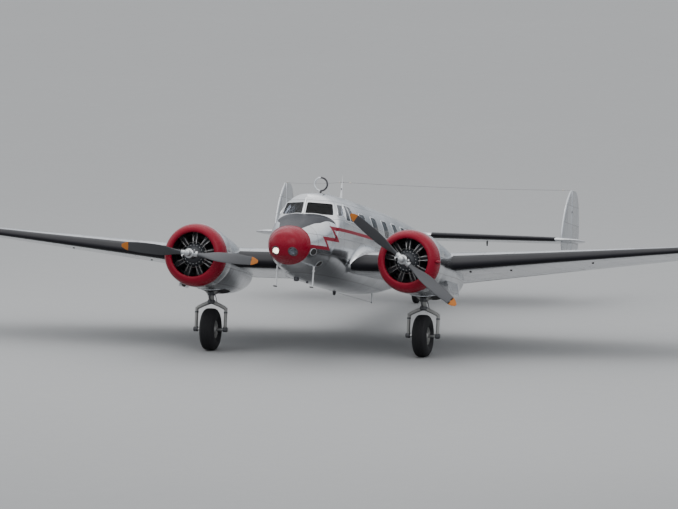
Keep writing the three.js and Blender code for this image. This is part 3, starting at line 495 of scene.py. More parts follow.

# Grey-tinted glass: the tint is painted shade that darkens what lies behind the panes and the lamp lenses.
glass, coat, add, _, span, noise = workshop("window_sheet_tinted_for_shade")
haze = noise(add("TexCoord", out=3), 14.0, 4.0)
coat(Base_Color=(0.42, 0.44, 0.48, 1), Transmission_Weight=1.0, IOR=1.2, Roughness=span(haze, 0.4, 0.8, 0.01, 0.06))
FRAME_METAL = painted("window_frame_metal", (0.62, 0.63, 0.64), 0.32, metal=1.0, mottle=0.08, relief=0.0001)
pair(
    "windscreen_pane_{}", [plate(grown(pane_outline, 0.003), on_windscreen, -0.004, 0.006)],
    "airframe", "window_glass", glass, ["windscreen_{}"],
)
pair("windscreen_frame_{}", [rim(pane_outline, on_windscreen, 0.016, 0.004, 0.03)], "airframe", "polished", FRAME_METAL)
for where, outline in zip(COCKPIT_PANES, cockpit_outlines):
    pair(
        f"cockpit_side_pane_{where}_{{}}", [plate(grown(outline, 0.003), on_side, -0.004, 0.006)],
        "airframe", "window_glass", glass, [f"side_window_{where}_{{}}"],
    )
split = rounded([(2.520, 0.800), (2.542, 0.800), (2.612, 1.094), (2.590, 1.094)], 0.004)
pair("window_frames_{}", [
    *[rim(outline, on_side, 0.028, 0.005, 0.03) for outline in cockpit_outlines], plate(split, on_side, 0.003, 0.02),
    *[rim(outline, on_side, 0.024, 0.004, 0.03) for outline in cabin_outlines],
], "airframe", "polished", FRAME_METAL)
pair(
    "cabin_panes_{}", [plate(grown(outline, 0.003), on_side, -0.006, 0.005) for outline in cabin_outlines],
    "airframe", "window_glass", glass,
)

# Wing. A thick wing of riveted sheet with a flat underside: a level centre section through the fuselage and
# two outer panels that rise and taper. Split flaps lie in the underside and the ailerons close the outer ends.
# Columns: x, nose y, nose z, chord, thickness share
WING = np.array([
    [0.000, 2.560, -0.0400, 3.350, 0.138], [2.100, 2.560, -0.0400, 3.350, 0.136],
    [7.850, 3.520, 0.5542, 1.400, 0.095], [8.110, 3.610, 0.5811, 1.200, 0.090],
    [8.270, 3.740, 0.5976, 0.900, 0.080], [8.350, 3.890, 0.6059, 0.580, 0.065],
    [8.382, 4.060, 0.6092, 0.240, 0.050],
])
# Columns: root of the share along the chord, upper height, lower height
AEROFOIL = np.array([
    [0, 0.0350, 0.0340], [0.1225, 0.0570, 0.0180], [0.2449, 0.0830, 0.0080], [0.3873, 0.1069, 0.0015],
    [0.5477, 0.1170, 0], [0.7071, 0.1052, 0], [0.8367, 0.0735, 0], [0.9274, 0.0390, 0], [1, 0.0040, -0.0010],
])
AEROFOIL_NOSE, AEROFOIL_THICKNESS, TILT = 0.035, 0.117, math.radians(-0.7)


def between(table, x):
    """A table's other columns at x, on straight lines between its rows."""
    return [np.interp(x, table[:, 0], column) for column in table[:, 1:].T]


def wing_point(x, along, lift, proud=0.0):
    """A point of the wing at x: a share along the chord, and a height over the flat underside in shares of
    the chord, thickened to the section's own thickness, plus a height in metres."""
    nose_y, nose_z, chord, thick = between(WING, np.abs(x))
    depth = along * chord
    height = (lift - AEROFOIL_NOSE) * thick / AEROFOIL_THICKNESS * chord + proud
    c, s = math.cos(TILT), math.sin(TILT)
    return spread(x, nose_y + depth * c + height * s, nose_z - depth * s + height * c)


def section(along, upper):
    """Height of the aerofoil's upper or lower side at a share along the chord."""
    return faired(AEROFOIL, np.sqrt(along))[..., 0 if upper else 1]


def wing_sides(x, along, proud=0.0):
    """The wing's upper side at these shares along the chord, and its lower side at them in reverse."""
    x = np.asarray(x, float)[:, None]
    upper = wing_point(x, along[None], section(along, True)[None], proud)
    return upper, wing_point(x, along[None, ::-1], section(along[::-1], False)[None], -proud)


def wing_skin(x):
    """The wing's skin along x: over the upper side from the rear to the nose and back underneath."""
    return solid(np.concatenate(wing_sides(x, np.linspace(1, 0, 34) ** 2), 1))


def wing_bar(x, corners):
    """A bar along the wing: corners are (share along, height in metres over the underside)."""
    x = np.asarray(x, float)
    return solid(np.stack([wing_point(x, along, 0.0, height) for along, height in corners], 1))


FLAP_SPANS = {"inner": (0.830, 2.050), "outer": (2.150, 4.560)}
FLAP_FRONT, FLAP_REAR, FLAP_THICK, FLAP_GAP = 0.84, 0.97, 0.014, 0.006
AILERON_SPAN, AILERON_HINGE, AILERON_SLOT, AILERON_GAP = (4.660, 7.690), 0.79, 0.755, 0.010
WING_SHEETS = metal_sheet("polished_wing_sheets", [("X", 0.58, 0.30), ("Y", 0.55, 2.90)])


def flap_pocket(span):
    """The recess that a flap lies in: the flap's bar, a gap larger all round and open below."""
    front, rear, top = FLAP_FRONT - 0.0024, FLAP_REAR + 0.0024, FLAP_THICK + FLAP_GAP
    corners = [(front, -0.04), (rear, -0.04), (rear, top), (front, top)]
    return wing_bar((span[0] - FLAP_GAP, span[1] + FLAP_GAP), corners)


def aileron_rings(x):
    """An aileron's outline: the wing's own upper side, a round nose about the hinge, and the underside."""
    upper, lower = wing_sides(x, np.linspace(1.0, AILERON_HINGE, 9))
    top, bottom = upper[:, -1], lower[:, 0]
    middle, half = (top + bottom) / 2, np.linalg.norm(top - bottom, axis=1) / 2
    turn = np.radians(np.linspace(75, -75, 9))
    nose = middle[:, None] + half[:, None, None] * np.stack([0 * turn, -np.cos(turn), np.sin(turn)], -1)[None]
    return np.concatenate([upper, nose, lower], 1)


centre = piece(
    "wing_centre_section", [wing_skin(np.linspace(-2.0998, 2.0998, 9))], "airframe", "polished", WING_SHEETS,
    ["wing_centre"],
)
carve(centre, both(flap_pocket(FLAP_SPANS["inner"])))
panel_stations = [*np.linspace(2.1002, 7.85, 24), 7.94, 8.03, 8.11, 8.17, 8.22, 8.27, 8.31, 8.35, 8.368, 8.382]
slot_corners = [(AILERON_SLOT, -0.2), (1.1, -0.2), (1.1, 0.4), (AILERON_SLOT, 0.4)]
slot_bar = wing_bar((AILERON_SPAN[0] - AILERON_GAP, AILERON_SPAN[1] + AILERON_GAP), slot_corners)
panels = pair("wing_panel_{}", [wing_skin(panel_stations)], "airframe", "polished", WING_SHEETS, ["wing_{}"])
for panel, pocket, slot in zip(panels, both(flap_pocket(FLAP_SPANS["outer"])), both(slot_bar)):
    carve(panel, [pocket, slot])
pair(
    "aileron_skin_{}", [solid(aileron_rings(np.linspace(*AILERON_SPAN, 12)))], "aileron_{}", "polished", WING_SHEETS,
    ["aileron_{}"],
)
FLAP_INSIDE = painted("flap_inside_primer", (0.30, 0.33, 0.28), 0.6, grain=60)
leaf_corners = [
    (FLAP_FRONT, 0), (FLAP_REAR, 0), (FLAP_REAR, 0.004), (FLAP_FRONT + 0.004, 0.004), (FLAP_FRONT, 0.004),
]
rib_corners = [
    (FLAP_FRONT + 0.003, 0.003), (FLAP_REAR - 0.004, 0.003), (FLAP_REAR - 0.004, 0.006), (FLAP_FRONT + 0.003, 0.0138),
]
for place, (x0, x1) in FLAP_SPANS.items():
    ribs = [
        (*wing_bar((x - 0.004, x + 0.004), rib_corners)[:2], 1)
        for x in np.linspace(x0 + 0.05, x1 - 0.05, max(4, int((x1 - x0) / 0.2)))
    ]
    pair(
        f"flap_{place}_leaf_{{}}", [wing_bar(np.linspace(x0, x1, 9), leaf_corners), *ribs], f"flap_{place}_{{}}",
        "polished", [WING_SHEETS, FLAP_INSIDE], [f"flap_{place}_{{}}"],
    )

# De-icing boots. Black rubber strips cemented over the wings' noses, a few millimetres thick.
BOOT = painted("black_boot_rubber", (0.007, 0.007, 0.010), 0.42, mottle=0.25, grain=40, relief=0.0004, shine=0.16)
BOOT_TOP, BOOT_BOTTOM = 0.085, 0.045


def boot_strip(x, proud=0.004):
    """A rubber strip round the nose, from a share along the upper side to one along the lower side. Each row of
    x is a number, or has one value for each of the 20 places round the nose."""
    x = np.asarray(x, float).reshape(len(x), -1)
    over, under = np.linspace(BOOT_TOP**0.5, 0, 12) ** 2, np.linspace(0, BOOT_BOTTOM**0.5, 9)[1:] ** 2
    rise = np.concatenate([section(over, True), section(under, False)])
    along = np.concatenate([over, under])
    out = np.concatenate([np.full(len(over), 1.0), np.full(len(under), -1.0)])
    edge = np.minimum(np.linspace(0, 6, len(along)), np.linspace(6, 0, len(along))).clip(0, 1)
    skins = []
    for height in (proud, -0.004):
        lift = np.where(height > 0, height * edge + 0.0005, height)
        points = wing_point(x, along[None], rise[None], (out * lift)[None])
        points[..., 1] -= lift * np.exp(-along * 60)[None]
        skins.append(points)
    return layered(*skins)


bend = 0.68 + 0.21 * np.concatenate([np.linspace(1, 0, 12) ** 1.6, np.zeros(8)])
inner_boot = bend + (1.62 - bend) * np.linspace(0, 1, 14)[:, None]
pair(
    "wing_boot_{}", [boot_strip(inner_boot), boot_strip(np.linspace(2.62, 8.05, 40))], "airframe", "tyre", BOOT,
)

# Nacelles. Oval streamlined bodies of riveted sheet that hold the engines and, aft, the wheels' bays. They are
# built on to the wing's centre section.
NACELLE_X = 2.120
# Columns: y, half width, top, height where widest, bottom, power above, power below
NACELLE = np.array([
    [1.880, 0.556, 0.556, 0.000, -0.556, 2, 2], [2.300, 0.560, 0.548, -0.010, -0.590, 2, 2.2],
    [2.900, 0.548, 0.470, -0.030, -0.618, 2, 2.4], [3.600, 0.480, 0.330, -0.060, -0.606, 2, 2.4],
    [4.300, 0.370, 0.160, -0.090, -0.520, 2, 2.3], [4.900, 0.230, 0.000, -0.120, -0.390, 2, 2.1],
    [5.290, 0.060, -0.120, -0.160, -0.240, 2, 2],
])
NACELLE_SHEETS = metal_sheet("polished_nacelle_sheets", [("Y", 0.42, 0.22), ("Z", 0.30, 0.10)])


def body_grid(table, stations, columns):
    """Rows of points round a body: half width and heights from its table, rounded by its two powers."""
    half, top, wide, bottom, upper, lower = np.moveaxis(faired(table, stations), -1, 0)[:, :, None]
    angle = (np.arange(columns) * 2 * np.pi / columns)[None]
    c, s = np.cos(angle), np.sin(angle)
    power = 2 / np.where(s > 0, upper, lower)
    rise = np.where(s > 0, top - wide, wide - bottom)
    across, up = np.sign(c) * np.abs(c) ** power, np.sign(s) * np.abs(s) ** power
    return spread(half * across, stations[:, None], wide + rise * up)


def turned(profile, columns=64, mark=0, closed=False, axis="y"):
    """A shape turned about an axis from rows of (radius, place along it). closed joins last row and first."""
    profile = np.asarray([*profile, profile[0]] if closed else profile, float)
    angle = np.arange(columns) * 2 * np.pi / columns
    radius, along = profile[:, :1], profile[:, 1:]
    s, c = radius * np.sin(angle), radius * np.cos(angle)
    return sheet(spread(*{"x": (along, c, s), "y": (s, along, c), "z": (c, s, along)}[axis]), around=True, mark=mark)


def tube(path, radius, sides=16, mark=0):
    """A closed round tube along a path: at each point a circle square to the path, turned on from the last
    circle without twist. radius is one number or one for each point."""
    path = np.asarray(path, float)
    along = np.gradient(path, axis=0)
    along /= np.linalg.norm(along, axis=1)[:, None]
    first = np.cross(along[0], (0.0, 0.0, 1.0) if abs(along[0][2]) < 0.9 else (1.0, 0.0, 0.0))
    side = [first / np.linalg.norm(first)]
    for direction in along[1:]:
        carried = side[-1] - (side[-1] @ direction) * direction
        side.append(carried / np.linalg.norm(carried))
    side = np.array(side)
    other = np.cross(along, side)
    angle = np.arange(sides) * 2 * np.pi / sides
    radius = np.broadcast_to(radius, len(path))[:, None, None]
    ring = side[:, None] * np.cos(angle)[None, :, None] + other[:, None] * np.sin(angle)[None, :, None]
    return solid(path[:, None] + radius * ring, mark)


def pole(x, y, heights, radius, sides=16, mark=0):
    """An upright tube through these heights."""
    return tube([(x, y, z) for z in heights], radius, sides, mark)


def bar(across, y, z, radius, sides=16, mark=0):
    """A tube across the airliner through these values of x."""
    return tube([(x, y, z) for x in across], radius, sides, mark)


def swung(shape, degrees):
    """The shape turned about the y axis."""
    c, s = math.cos(math.radians(degrees)), math.sin(math.radians(degrees))
    turn = np.array([[c, 0, s], [0, 1, 0], [-s, 0, c]])
    return shape[0] @ turn.T, shape[1], shape[2]


def curve(points, count=24):
    """A smooth path through points: between each two of them a cubic that keeps the slope of its neighbours."""
    points = np.asarray(points, float)
    ghost = np.vstack([2 * points[0] - points[1], points, 2 * points[-1] - points[-2]])
    t = np.linspace(0, len(points) - 1 - 1e-9, count)
    k, u = t.astype(int), (t % 1)[:, None]
    a, b, c, d = ghost[k], ghost[k + 1], ghost[k + 2], ghost[k + 3]
    return 0.5 * (2 * b + (c - a) * u + (2 * a - 5 * b + 4 * c - d) * u**2 + (3 * b - a - 3 * c + d) * u**3)


stations = np.array([*np.linspace(1.88, 5.20, 60), 5.23, 5.26, 5.28, 5.29])
pair(
    "nacelle_skin_{}", [solid(body_grid(NACELLE, stations, 96))], "airframe", "polished", NACELLE_SHEETS,
    ["nacelle_{}"], apart=NACELLE_X,
)

# Cowls. Spun rings with a thick rounded lip, red in front of the join and polished behind it. They are bolted
# round the engines, a gap ahead of the nacelles.
RED = painted("gloss_red_paint", (0.180, 0.003, 0.015), 0.26, mottle=0.06, grain=30, relief=0.00005, shine=0.15)
COWL_DARK = painted("cowl_inside_metal", (0.10, 0.10, 0.11), 0.55, metal=0.7)
COWL_LIP = 1.200
# Columns: radius, y aft of the lip
COWL = [
    (0.428, 0.060), (0.428, 0.045), (0.430, 0.028), (0.436, 0.014), (0.450, 0.003), (0.468, 0.000),
    (0.492, 0.005), (0.520, 0.020), (0.546, 0.046), (0.568, 0.080), (0.585, 0.125), (0.598, 0.180),
    (0.606, 0.240), (0.610, 0.300), (0.610, 0.315),
]
COWL_REAR = [(0.610, 0.318), (0.610, 0.45), (0.6095, 0.60), (0.605, 0.68), (0.600, 0.748)]
INNER_WALL = [(0.588, 0.748), (0.593, 0.60), (0.594, 0.30), (0.590, 0.21), (0.548, 0.105), (0.500, 0.060)]
rows = [(COWL, 0), ((COWL[-1], COWL_REAR[0]), 1), (COWL_REAR, 1), ((COWL_REAR[-1], INNER_WALL[0]), 1),
        ([*INNER_WALL, COWL[0]], 2)]
pair("cowl_ring_{}", [
    *[turned([(r, y + COWL_LIP) for r, y in profile], 96, mark) for profile, mark in rows],
    turned([(0.300, 1.790), (0.588, 1.790), (0.588, 1.796), (0.300, 1.796)], 96, 2, closed=True),
    turned([(0.611, 1.519), (0.6135, 1.523), (0.6135, 1.545), (0.611, 1.549), (0.606, 1.545), (0.606, 1.523)],
           96, 1, closed=True),
], "airframe", "red_paint", [RED, NACELLE_SHEETS, COWL_DARK], ["cowl_{}"], apart=NACELLE_X)

# Engines. Nine finned cylinders round a crankcase, with two push rod tubes each, rocker boxes and leads. They
# are bolted to the fronts of the nacelles.
IRON = painted("engine_dark_iron", (0.045, 0.045, 0.05), 0.5, metal=0.75, mottle=0.2)
CASE = painted("crankcase_grey_enamel", (0.030, 0.033, 0.038), 0.45, mottle=0.1, shine=0.3)
BRIGHT = painted("bright_steel_tube", (0.42, 0.42, 0.42), 0.32, metal=1.0, mottle=0.1)
fins = [(0.0, 0.19)]
for k in range(11):
    z = 0.235 + 0.0155 * k
    fins += [(0.062, z), (0.080, z + 0.002), (0.080, z + 0.005), (0.062, z + 0.007)]
for k in range(7):
    z = 0.410 + 0.019 * k
    fins += [(0.066, z), (0.089, z + 0.003), (0.089, z + 0.007), (0.066, z + 0.010)]
fins += [(0.060, 0.548), (0.0, 0.556)]
parts = [turned(fins, 22, axis="z")]
for lean in (-1, 1):
    box_path = [(lean * 0.030, -0.050, 0.535), (lean * 0.048, -0.010, 0.555), (lean * 0.052, 0.045, 0.548)]
    lead = [(lean * 0.018, -0.10, 0.45), (lean * 0.05, -0.12, 0.38), (lean * 0.03, -0.15, 0.26)]
    parts += [
        tube(curve(box_path, 8), [0.012, 0.020, 0.024, 0.026, 0.026, 0.024, 0.020, 0.010], 10),
        tube([(lean * 0.032, -0.135, 0.215), (lean * 0.036, -0.062, 0.535)], 0.0065, 10, mark=2),
        tube([(lean * 0.018, -0.072, 0.45), lead[0]], 0.009, 8, mark=2),
        tube(curve(lead, 9), 0.004, 6, mark=2),
    ]
parts += [tube(curve([(0, 0.07, 0.50), (0, 0.13, 0.52), (0, 0.19, 0.48), (0, 0.22, 0.42)], 9), 0.028, 10)]
parts = [moved(shape, (0, COWL_LIP + 0.273, 0)) for shape in parts]
nose_case = turned([
    (0.0, 1.1405), (0.068, 1.1405), (0.074, 1.150), (0.088, 1.190), (0.097, 1.222), (0.118, 1.236), (0.150, 1.262),
    (0.172, 1.290), (0.176, 1.300), (0.188, 1.300), (0.188, 1.318), (0.205, 1.345), (0.226, 1.375), (0.230, 1.40),
    (0.230, 1.56), (0.260, 1.60), (0.330, 1.64), (0.330, 1.8795), (0.0, 1.8795),
], 54, 1)
ring = turned([
    (0.245, 1.335), (0.252, 1.341), (0.252, 1.353), (0.245, 1.359), (0.238, 1.353), (0.238, 1.341),
], 54, 2, closed=True)
collector = turned([
    (0.44 + 0.045 * math.cos(a), 1.70 + 0.045 * math.sin(a)) for a in np.linspace(0, 2 * np.pi, 12, endpoint=False)
], 54, closed=True)
bolt = moved(tube([(0, 0, 0), (0, -0.012, 0)], 0.008, 6, mark=2), (0, 1.300, 0.181))
pair(
    "radial_engine_{}", [
        nose_case, ring, collector, *[swung(bolt, 20 * k) for k in range(18)],
        *[swung(shape, 40 * k) for k in range(9) for shape in parts],
    ], "airframe", "engine_iron", [IRON, CASE, BRIGHT], ["engine_{}"], apart=NACELLE_X, crease=40,
)

# Propellers. Two dark metal blades with orange tips, in a two-part hub with a cylinder in front. Each turns on
# the shaft of its engine.
# Columns: radius, chord, thickness, angle in degrees
BLADES = np.array([
    [0.090, 0.092, 0.090, 50], [0.260, 0.120, 0.066, 44], [0.480, 0.205, 0.036, 35], [0.800, 0.222, 0.024, 26],
    [1.120, 0.190, 0.016, 20], [1.300, 0.132, 0.010, 17], [1.370, 0.050, 0.006, 16],
])
BLADE_METAL = painted("dark_blade_metal", (0.055, 0.057, 0.062), 0.42, metal=0.6, mottle=0.12, grain=50, relief=0.00005)
TIP_PAINT = painted("orange_tip_paint", (0.36, 0.12, 0.02), 0.45, mottle=0.08, shine=0.2)
HUB_STEEL = painted("hub_steel", (0.42, 0.43, 0.44), 0.3, metal=1.0, mottle=0.1)


def blade(radii, mark):
    """A length of blade: at each radius a thin oval, flatter behind, turned by the blade's angle."""
    radii = np.asarray(radii)
    chord, thick, degrees = np.moveaxis(faired(BLADES, radii), -1, 0)[:, :, None]
    turn = np.radians(degrees)
    a = (np.arange(28) * 2 * np.pi / 28)[None]
    u = chord / 2 * np.cos(a)
    v = thick / 2 * np.sin(a) * np.where(np.sin(a) > 0, 1.0, 0.8)
    c, s = np.cos(turn), np.sin(turn)
    return solid(spread(radii[:, None], u * s + v * c, u * c - v * s), mark)


half_propeller = [
    blade(np.linspace(0.088, 1.235, 44), 0), blade([1.235, 1.26, 1.29, 1.315, 1.335, 1.352, 1.363, 1.370], 1),
    tube([(0.060, 0, 0), (0.150, 0, 0), (0.165, 0, 0)], [0.060, 0.058, 0.050], 24, mark=2),
    tube([(0.150, 0, 0), (0.158, 0, 0)], 0.066, 24, mark=2),
    tube(curve([(0.10, -0.045, 0.03), (0.125, -0.085, 0.055), (0.11, -0.11, 0.075)], 6), 0.016, 10, mark=2),
]
hub = [
    turned([
        (0, -0.230), (0.020, -0.2295), (0.038, -0.224), (0.052, -0.212), (0.061, -0.195), (0.063, -0.165),
        (0.063, -0.085), (0.070, -0.078), (0.092, -0.070), (0.096, -0.050), (0.098, 0.0), (0.096, 0.060),
        (0.086, 0.078), (0.072, 0.090), (0.072, 0.1297), (0, 0.1297),
    ], 48, 2),
    turned([(0.0635, -0.150), (0.0675, -0.147), (0.0675, -0.132), (0.0635, -0.129)], 48, 2, closed=True),
]
for word, side, angle in (("left", 1, 38), ("right", -1, 5)):
    shapes = [*hub, *[swung(shape, half) for half in (0, 180) for shape in half_propeller]]
    piece(
        f"propeller_blades_{word}",
        [moved(swung(shape, angle), (side * NACELLE_X, PROPELLER_Y, 0)) for shape in shapes],
        f"propeller_{word}", "blade_metal", [BLADE_METAL, TIP_PAINT, HUB_STEEL], [f"propeller_{word}"], crease=40,
    )

# Main gear. Each leg is a V of tubes to one oleo with a bright piston, then a yoke over the tyre and two arms
# down to the axle. It stays down: it is fixed to the nacelle's frames.
STEEL = painted("silver_gear_paint", (0.235, 0.235, 0.228), 0.45, metal=0.35, mottle=0.14)
DARK_STEEL = painted("dark_gear_fittings", (0.07, 0.072, 0.078), 0.5, metal=0.5, mottle=0.18)
AXLE_Y, AXLE_Z = 2.790, -1.350
KNEE_Y, KNEE_Z, LEG_Y = AXLE_Y - 0.060, -0.660, AXLE_Y - 0.020
CROWN_Z, CORNER_Z, ARM_X = AXLE_Z + 0.535, AXLE_Z + 0.400, 0.290
oleo = [(0, KNEE_Y, KNEE_Z), (0, KNEE_Y - 0.001, KNEE_Z - 0.06), (0, LEG_Y, CROWN_Z + 0.030)]
strip = [(0, KNEE_Y - 0.062, KNEE_Z + 0.02), (0, KNEE_Y - 0.120, (KNEE_Z + CROWN_Z) / 2), (0, LEG_Y - 0.070, CROWN_Z)]
leg = [
    tube(oleo, [0.058, 0.058, 0.052], 24), pole(0, LEG_Y, (CROWN_Z + 0.075, CROWN_Z - 0.020), 0.046, 24, 2),
    pole(0, LEG_Y, [CROWN_Z + d for d in (0.030, 0.012, -0.030, -0.045)], [0.070, 0.078, 0.078, 0.060], 28, 1),
    pole(0, KNEE_Y, [KNEE_Z + d for d in (0.034, 0.028, -0.034, -0.040)], [0.066, 0.074, 0.074, 0.066], 28, 1),
    bar((-0.335, 0.335), AXLE_Y, AXLE_Z, 0.030, 24, 2), tube(strip, 0.013, 10, 1),
    bar((-0.060, 0.060), KNEE_Y, KNEE_Z, 0.022, 14, 2),
]
for s in (1, -1):
    knee, arm = (s * 0.020, KNEE_Y, KNEE_Z - 0.020), s * ARM_X
    yoke = [
        (0, LEG_Y, CROWN_Z), (s * 0.16, LEG_Y + 0.010, CROWN_Z - 0.065), (s * 0.262, AXLE_Y, CORNER_Z + 0.020),
        (arm, AXLE_Y, CORNER_Z - 0.010),
    ]
    hose = [
        (s * 0.052, KNEE_Y + 0.05, KNEE_Z + 0.02), (s * 0.070, LEG_Y + 0.075, -0.74),
        (s * 0.110, LEG_Y + 0.060, CROWN_Z - 0.02), (s * 0.285, AXLE_Y + 0.040, CORNER_Z - 0.01),
        (s * 0.300, AXLE_Y + 0.038, AXLE_Z + 0.20), (s * 0.285, AXLE_Y + 0.045, AXLE_Z + 0.06),
    ]
    leg += [
        tube([knee, (s * 0.190, KNEE_Y - 0.030, -0.515)], 0.032, 20),
        tube([knee, (s * 0.120, KNEE_Y + 0.490, -0.555)], 0.026, 18),
        tube([(s * 0.180, KNEE_Y - 0.028, -0.524), (s * 0.196, KNEE_Y - 0.031, -0.510)], 0.042, 18, 1),
        tube(yoke, [0.040, 0.037, 0.036, 0.034], 20),
        pole(arm, AXLE_Y, (CORNER_Z + 0.026, CORNER_Z + 0.018, AXLE_Z), [0.024, 0.032, 0.032], 20),
        pole(arm, AXLE_Y, (CORNER_Z - 0.055, CORNER_Z - 0.085), 0.038, 20, 1),
        bar((s * 0.250, s * 0.258, s * 0.326, s * 0.339), AXLE_Y, AXLE_Z, [0.042, 0.050, 0.050, 0.036], 24, 1),
        bar((s * 0.336, s * 0.339), AXLE_Y, AXLE_Z, 0.024, 6, 2), tube(curve(hose, 30), 0.007, 8, 1),
    ]
pair(
    "gear_leg_tubes_{}", leg, "airframe", "gear_steel", [STEEL, DARK_STEEL, BRIGHT], ["gear_leg_{}"],
    apart=NACELLE_X, crease=40,
)

# Main wheels. Low-pressure tyres with worn tread ribs on dished wheels, held by a bolted ring outside. Each
# turns on the cross axle of its leg.
TYRE = painted("worn_tyre_rubber", (0.009, 0.009, 0.0105), 0.75, mottle=0.25, grain=120, relief=0.0008, shine=0.3)
TYRE_WALL = [(0, 0.55), (0.03, 0.72), (0.12, 0.80), (0.26, 0.93), (0.42, 1), (0.60, 0.99), (0.76, 0.91), (0.88, 0.78),
             (0.95, 0.62)]  # shares of the wall's height and of the tyre's half width
DISH = [(0.50, 0.44), (0.62, 0.40), (0.84, 0.42), (0.90, 0.50), (0.93, 0.66), (0.99, 0.72), (1.03, 0.70),
        (0.985, 0.60)]  # shares of the rim's radius and of the tyre's half width


def wheel(radius, half, rim, bore, grooves, deep, columns, bolts_at, bolt):
    """A tyre and its hub turned about the x axis. The tyre has a bead on the rim, a bulging wall, a shoulder and
    a tread with ribs between the grooves. The hub is a dished disc on a boss, with a ring of bolt heads."""
    wall = radius - rim
    section = [(rim + wall * a, half * b) for a, b in TYRE_WALL]
    for x in grooves:
        crown = radius - wall * 0.035 * (x / half) ** 2 * 3
        section += [(crown, x + 0.006), (crown - deep, x + 0.004), (crown - deep, x - 0.004), (crown, x - 0.006)]
    hub = [(bore, half * 0.80), (bore + rim * 0.16, half * 0.80), (bore + rim * 0.20, half * 0.76)]
    hub += [(rim * a, half * b) for a, b in DISH]
    tyre, disc = [
        turned(rows + [(r, -x) for r, x in reversed(rows)], columns, closed=True, axis="x") for rows in (section, hub)
    ]
    heads = []
    for a in np.arange(bolts_at) * 2 * np.pi / bolts_at:
        for s in (1, -1):
            c = np.array([s * half * 0.40, rim * 0.73 * math.cos(a), rim * 0.73 * math.sin(a)])
            heads.append(tube([c, c + [s * bolt, 0, 0]], bolt, 6, 1))
    return [tyre], [disc, *heads]


tyre, hub = [
    [moved(shape, (0, AXLE_Y, AXLE_Z)) for shape in shapes]
    for shapes in wheel(0.4079, 0.145, 0.165, 0.0303, (0.072, 0.044, 0.015), 0.007, 96, 10, 0.010)
]
pair("main_tyre_{}", tyre, "main_wheel_{}", "tyre", TYRE, ["tyre_{}"], apart=NACELLE_X, crease=45)
pair("main_hub_{}", hub, "main_wheel_{}", "gear_steel", [STEEL, DARK_STEEL], ["hub_{}"], apart=NACELLE_X)

# Gear doors. A sheet panel hangs outboard of each wheel bay, stiffened by a pressed rib inside and held by
# two stays.
# Columns: z, front y, rear y, distance out from the nacelle's middle
GEAR_DOOR = np.array([[-0.545, 2.490, 3.150, 0.585], [-0.400, 2.455, 3.205, 0.546], [-0.250, 2.420, 3.260, 0.505]])
z = np.linspace(-0.30, -0.545, 8)
front, rear, out = np.moveaxis(faired(GEAR_DOOR, z), -1, 0)[:, :, None]
y = front + (rear - front) * np.linspace(0, 1, 14)[None]
shapes = [
    layered(*[spread(out + lift, y, z[:, None]) for lift in (0.010, 0.0)]),
    tube([(0.549 - 0.002, rib_y, -0.40) for rib_y in (2.50, 2.80, 3.15)], 0.008, 8),
    *[tube([(0.50, stay_y, -0.33), (0.545, stay_y, -0.42)], 0.010, 8) for stay_y in (2.60, 3.05)],
]
pair(
    "gear_door_panel_{}", [moved(shape, (NACELLE_X, 0, 0)) for shape in shapes], "airframe", "polished",
    NACELLE_SHEETS, ["gear_door_{}"],
)

# Tail surfaces. A tailplane through the tail cone carries a fin and a rudder at each end, and the elevator
# between them. They are sheet over ribs, with rubber boots on the tailplane's nose.
TAIL_Z, ELEVATOR_HINGE = 1.040, 10.960
# Columns: x, front y, rear y, thickness
TAILPLANE = np.array([
    [0.000, 9.780, 10.905, 0.150], [2.600, 10.020, 10.905, 0.112], [3.060, 10.090, 10.890, 0.096],
    [3.230, 10.190, 10.840, 0.066], [3.320, 10.320, 10.740, 0.034], [3.350, 10.460, 10.620, 0.010],
])
# Columns: root of the share of the depth, half height as a share of the thickness
TAIL_OUTLINE = np.array([[0, 0], [0.1, 0.135], [0.173, 0.22], [0.346, 0.38], [0.592, 0.50], [0.837, 0.46], [1, 0.36]])
TAIL_SHEETS = metal_sheet("polished_tail_sheets", [("X", 0.42, 0.21), ("Y", 0.40, 10.30)])
FIN_SHEETS = metal_sheet("polished_fin_sheets", [("Z", 0.36, 0.68), ("Y", 0.44, 10.20)], rough=0.20)


def tail_rings(nose, end, thick, proud=0.0, reach=1.0, count=16):
    """Distance aft and height round a symmetrical tail section: above from `reach` of its depth to the nose,
    and back below."""
    root = np.linspace(math.sqrt(reach), 0, count)
    y = nose[:, None] + (end - nose)[:, None] * root**2 - proud * np.exp(-(root**2) * 50)
    half = faired(TAIL_OUTLINE, root)[..., 0] * thick[:, None] + proud
    return np.concatenate([y, y[:, ::-1]], 1), np.concatenate([half, -half[:, ::-1]], 1)


def hinged_rings(hinge, radius, rear, count=8):
    """A moving surface's ring: a round nose about the hinge, tapering straight to a 6 mm trailing edge."""
    turn = np.radians(np.linspace(90, -90, 15))
    share = np.linspace(1, 0, count)[None, :-1]
    top_y = hinge + (rear[:, None] - hinge) * share
    top_h = radius[:, None] + (0.003 - radius[:, None]) * share
    y = np.concatenate([top_y, hinge - radius[:, None] * np.cos(turn), top_y[:, ::-1]], 1)
    return y, np.concatenate([top_h, radius[:, None] * np.sin(turn), -top_h[:, ::-1]], 1)


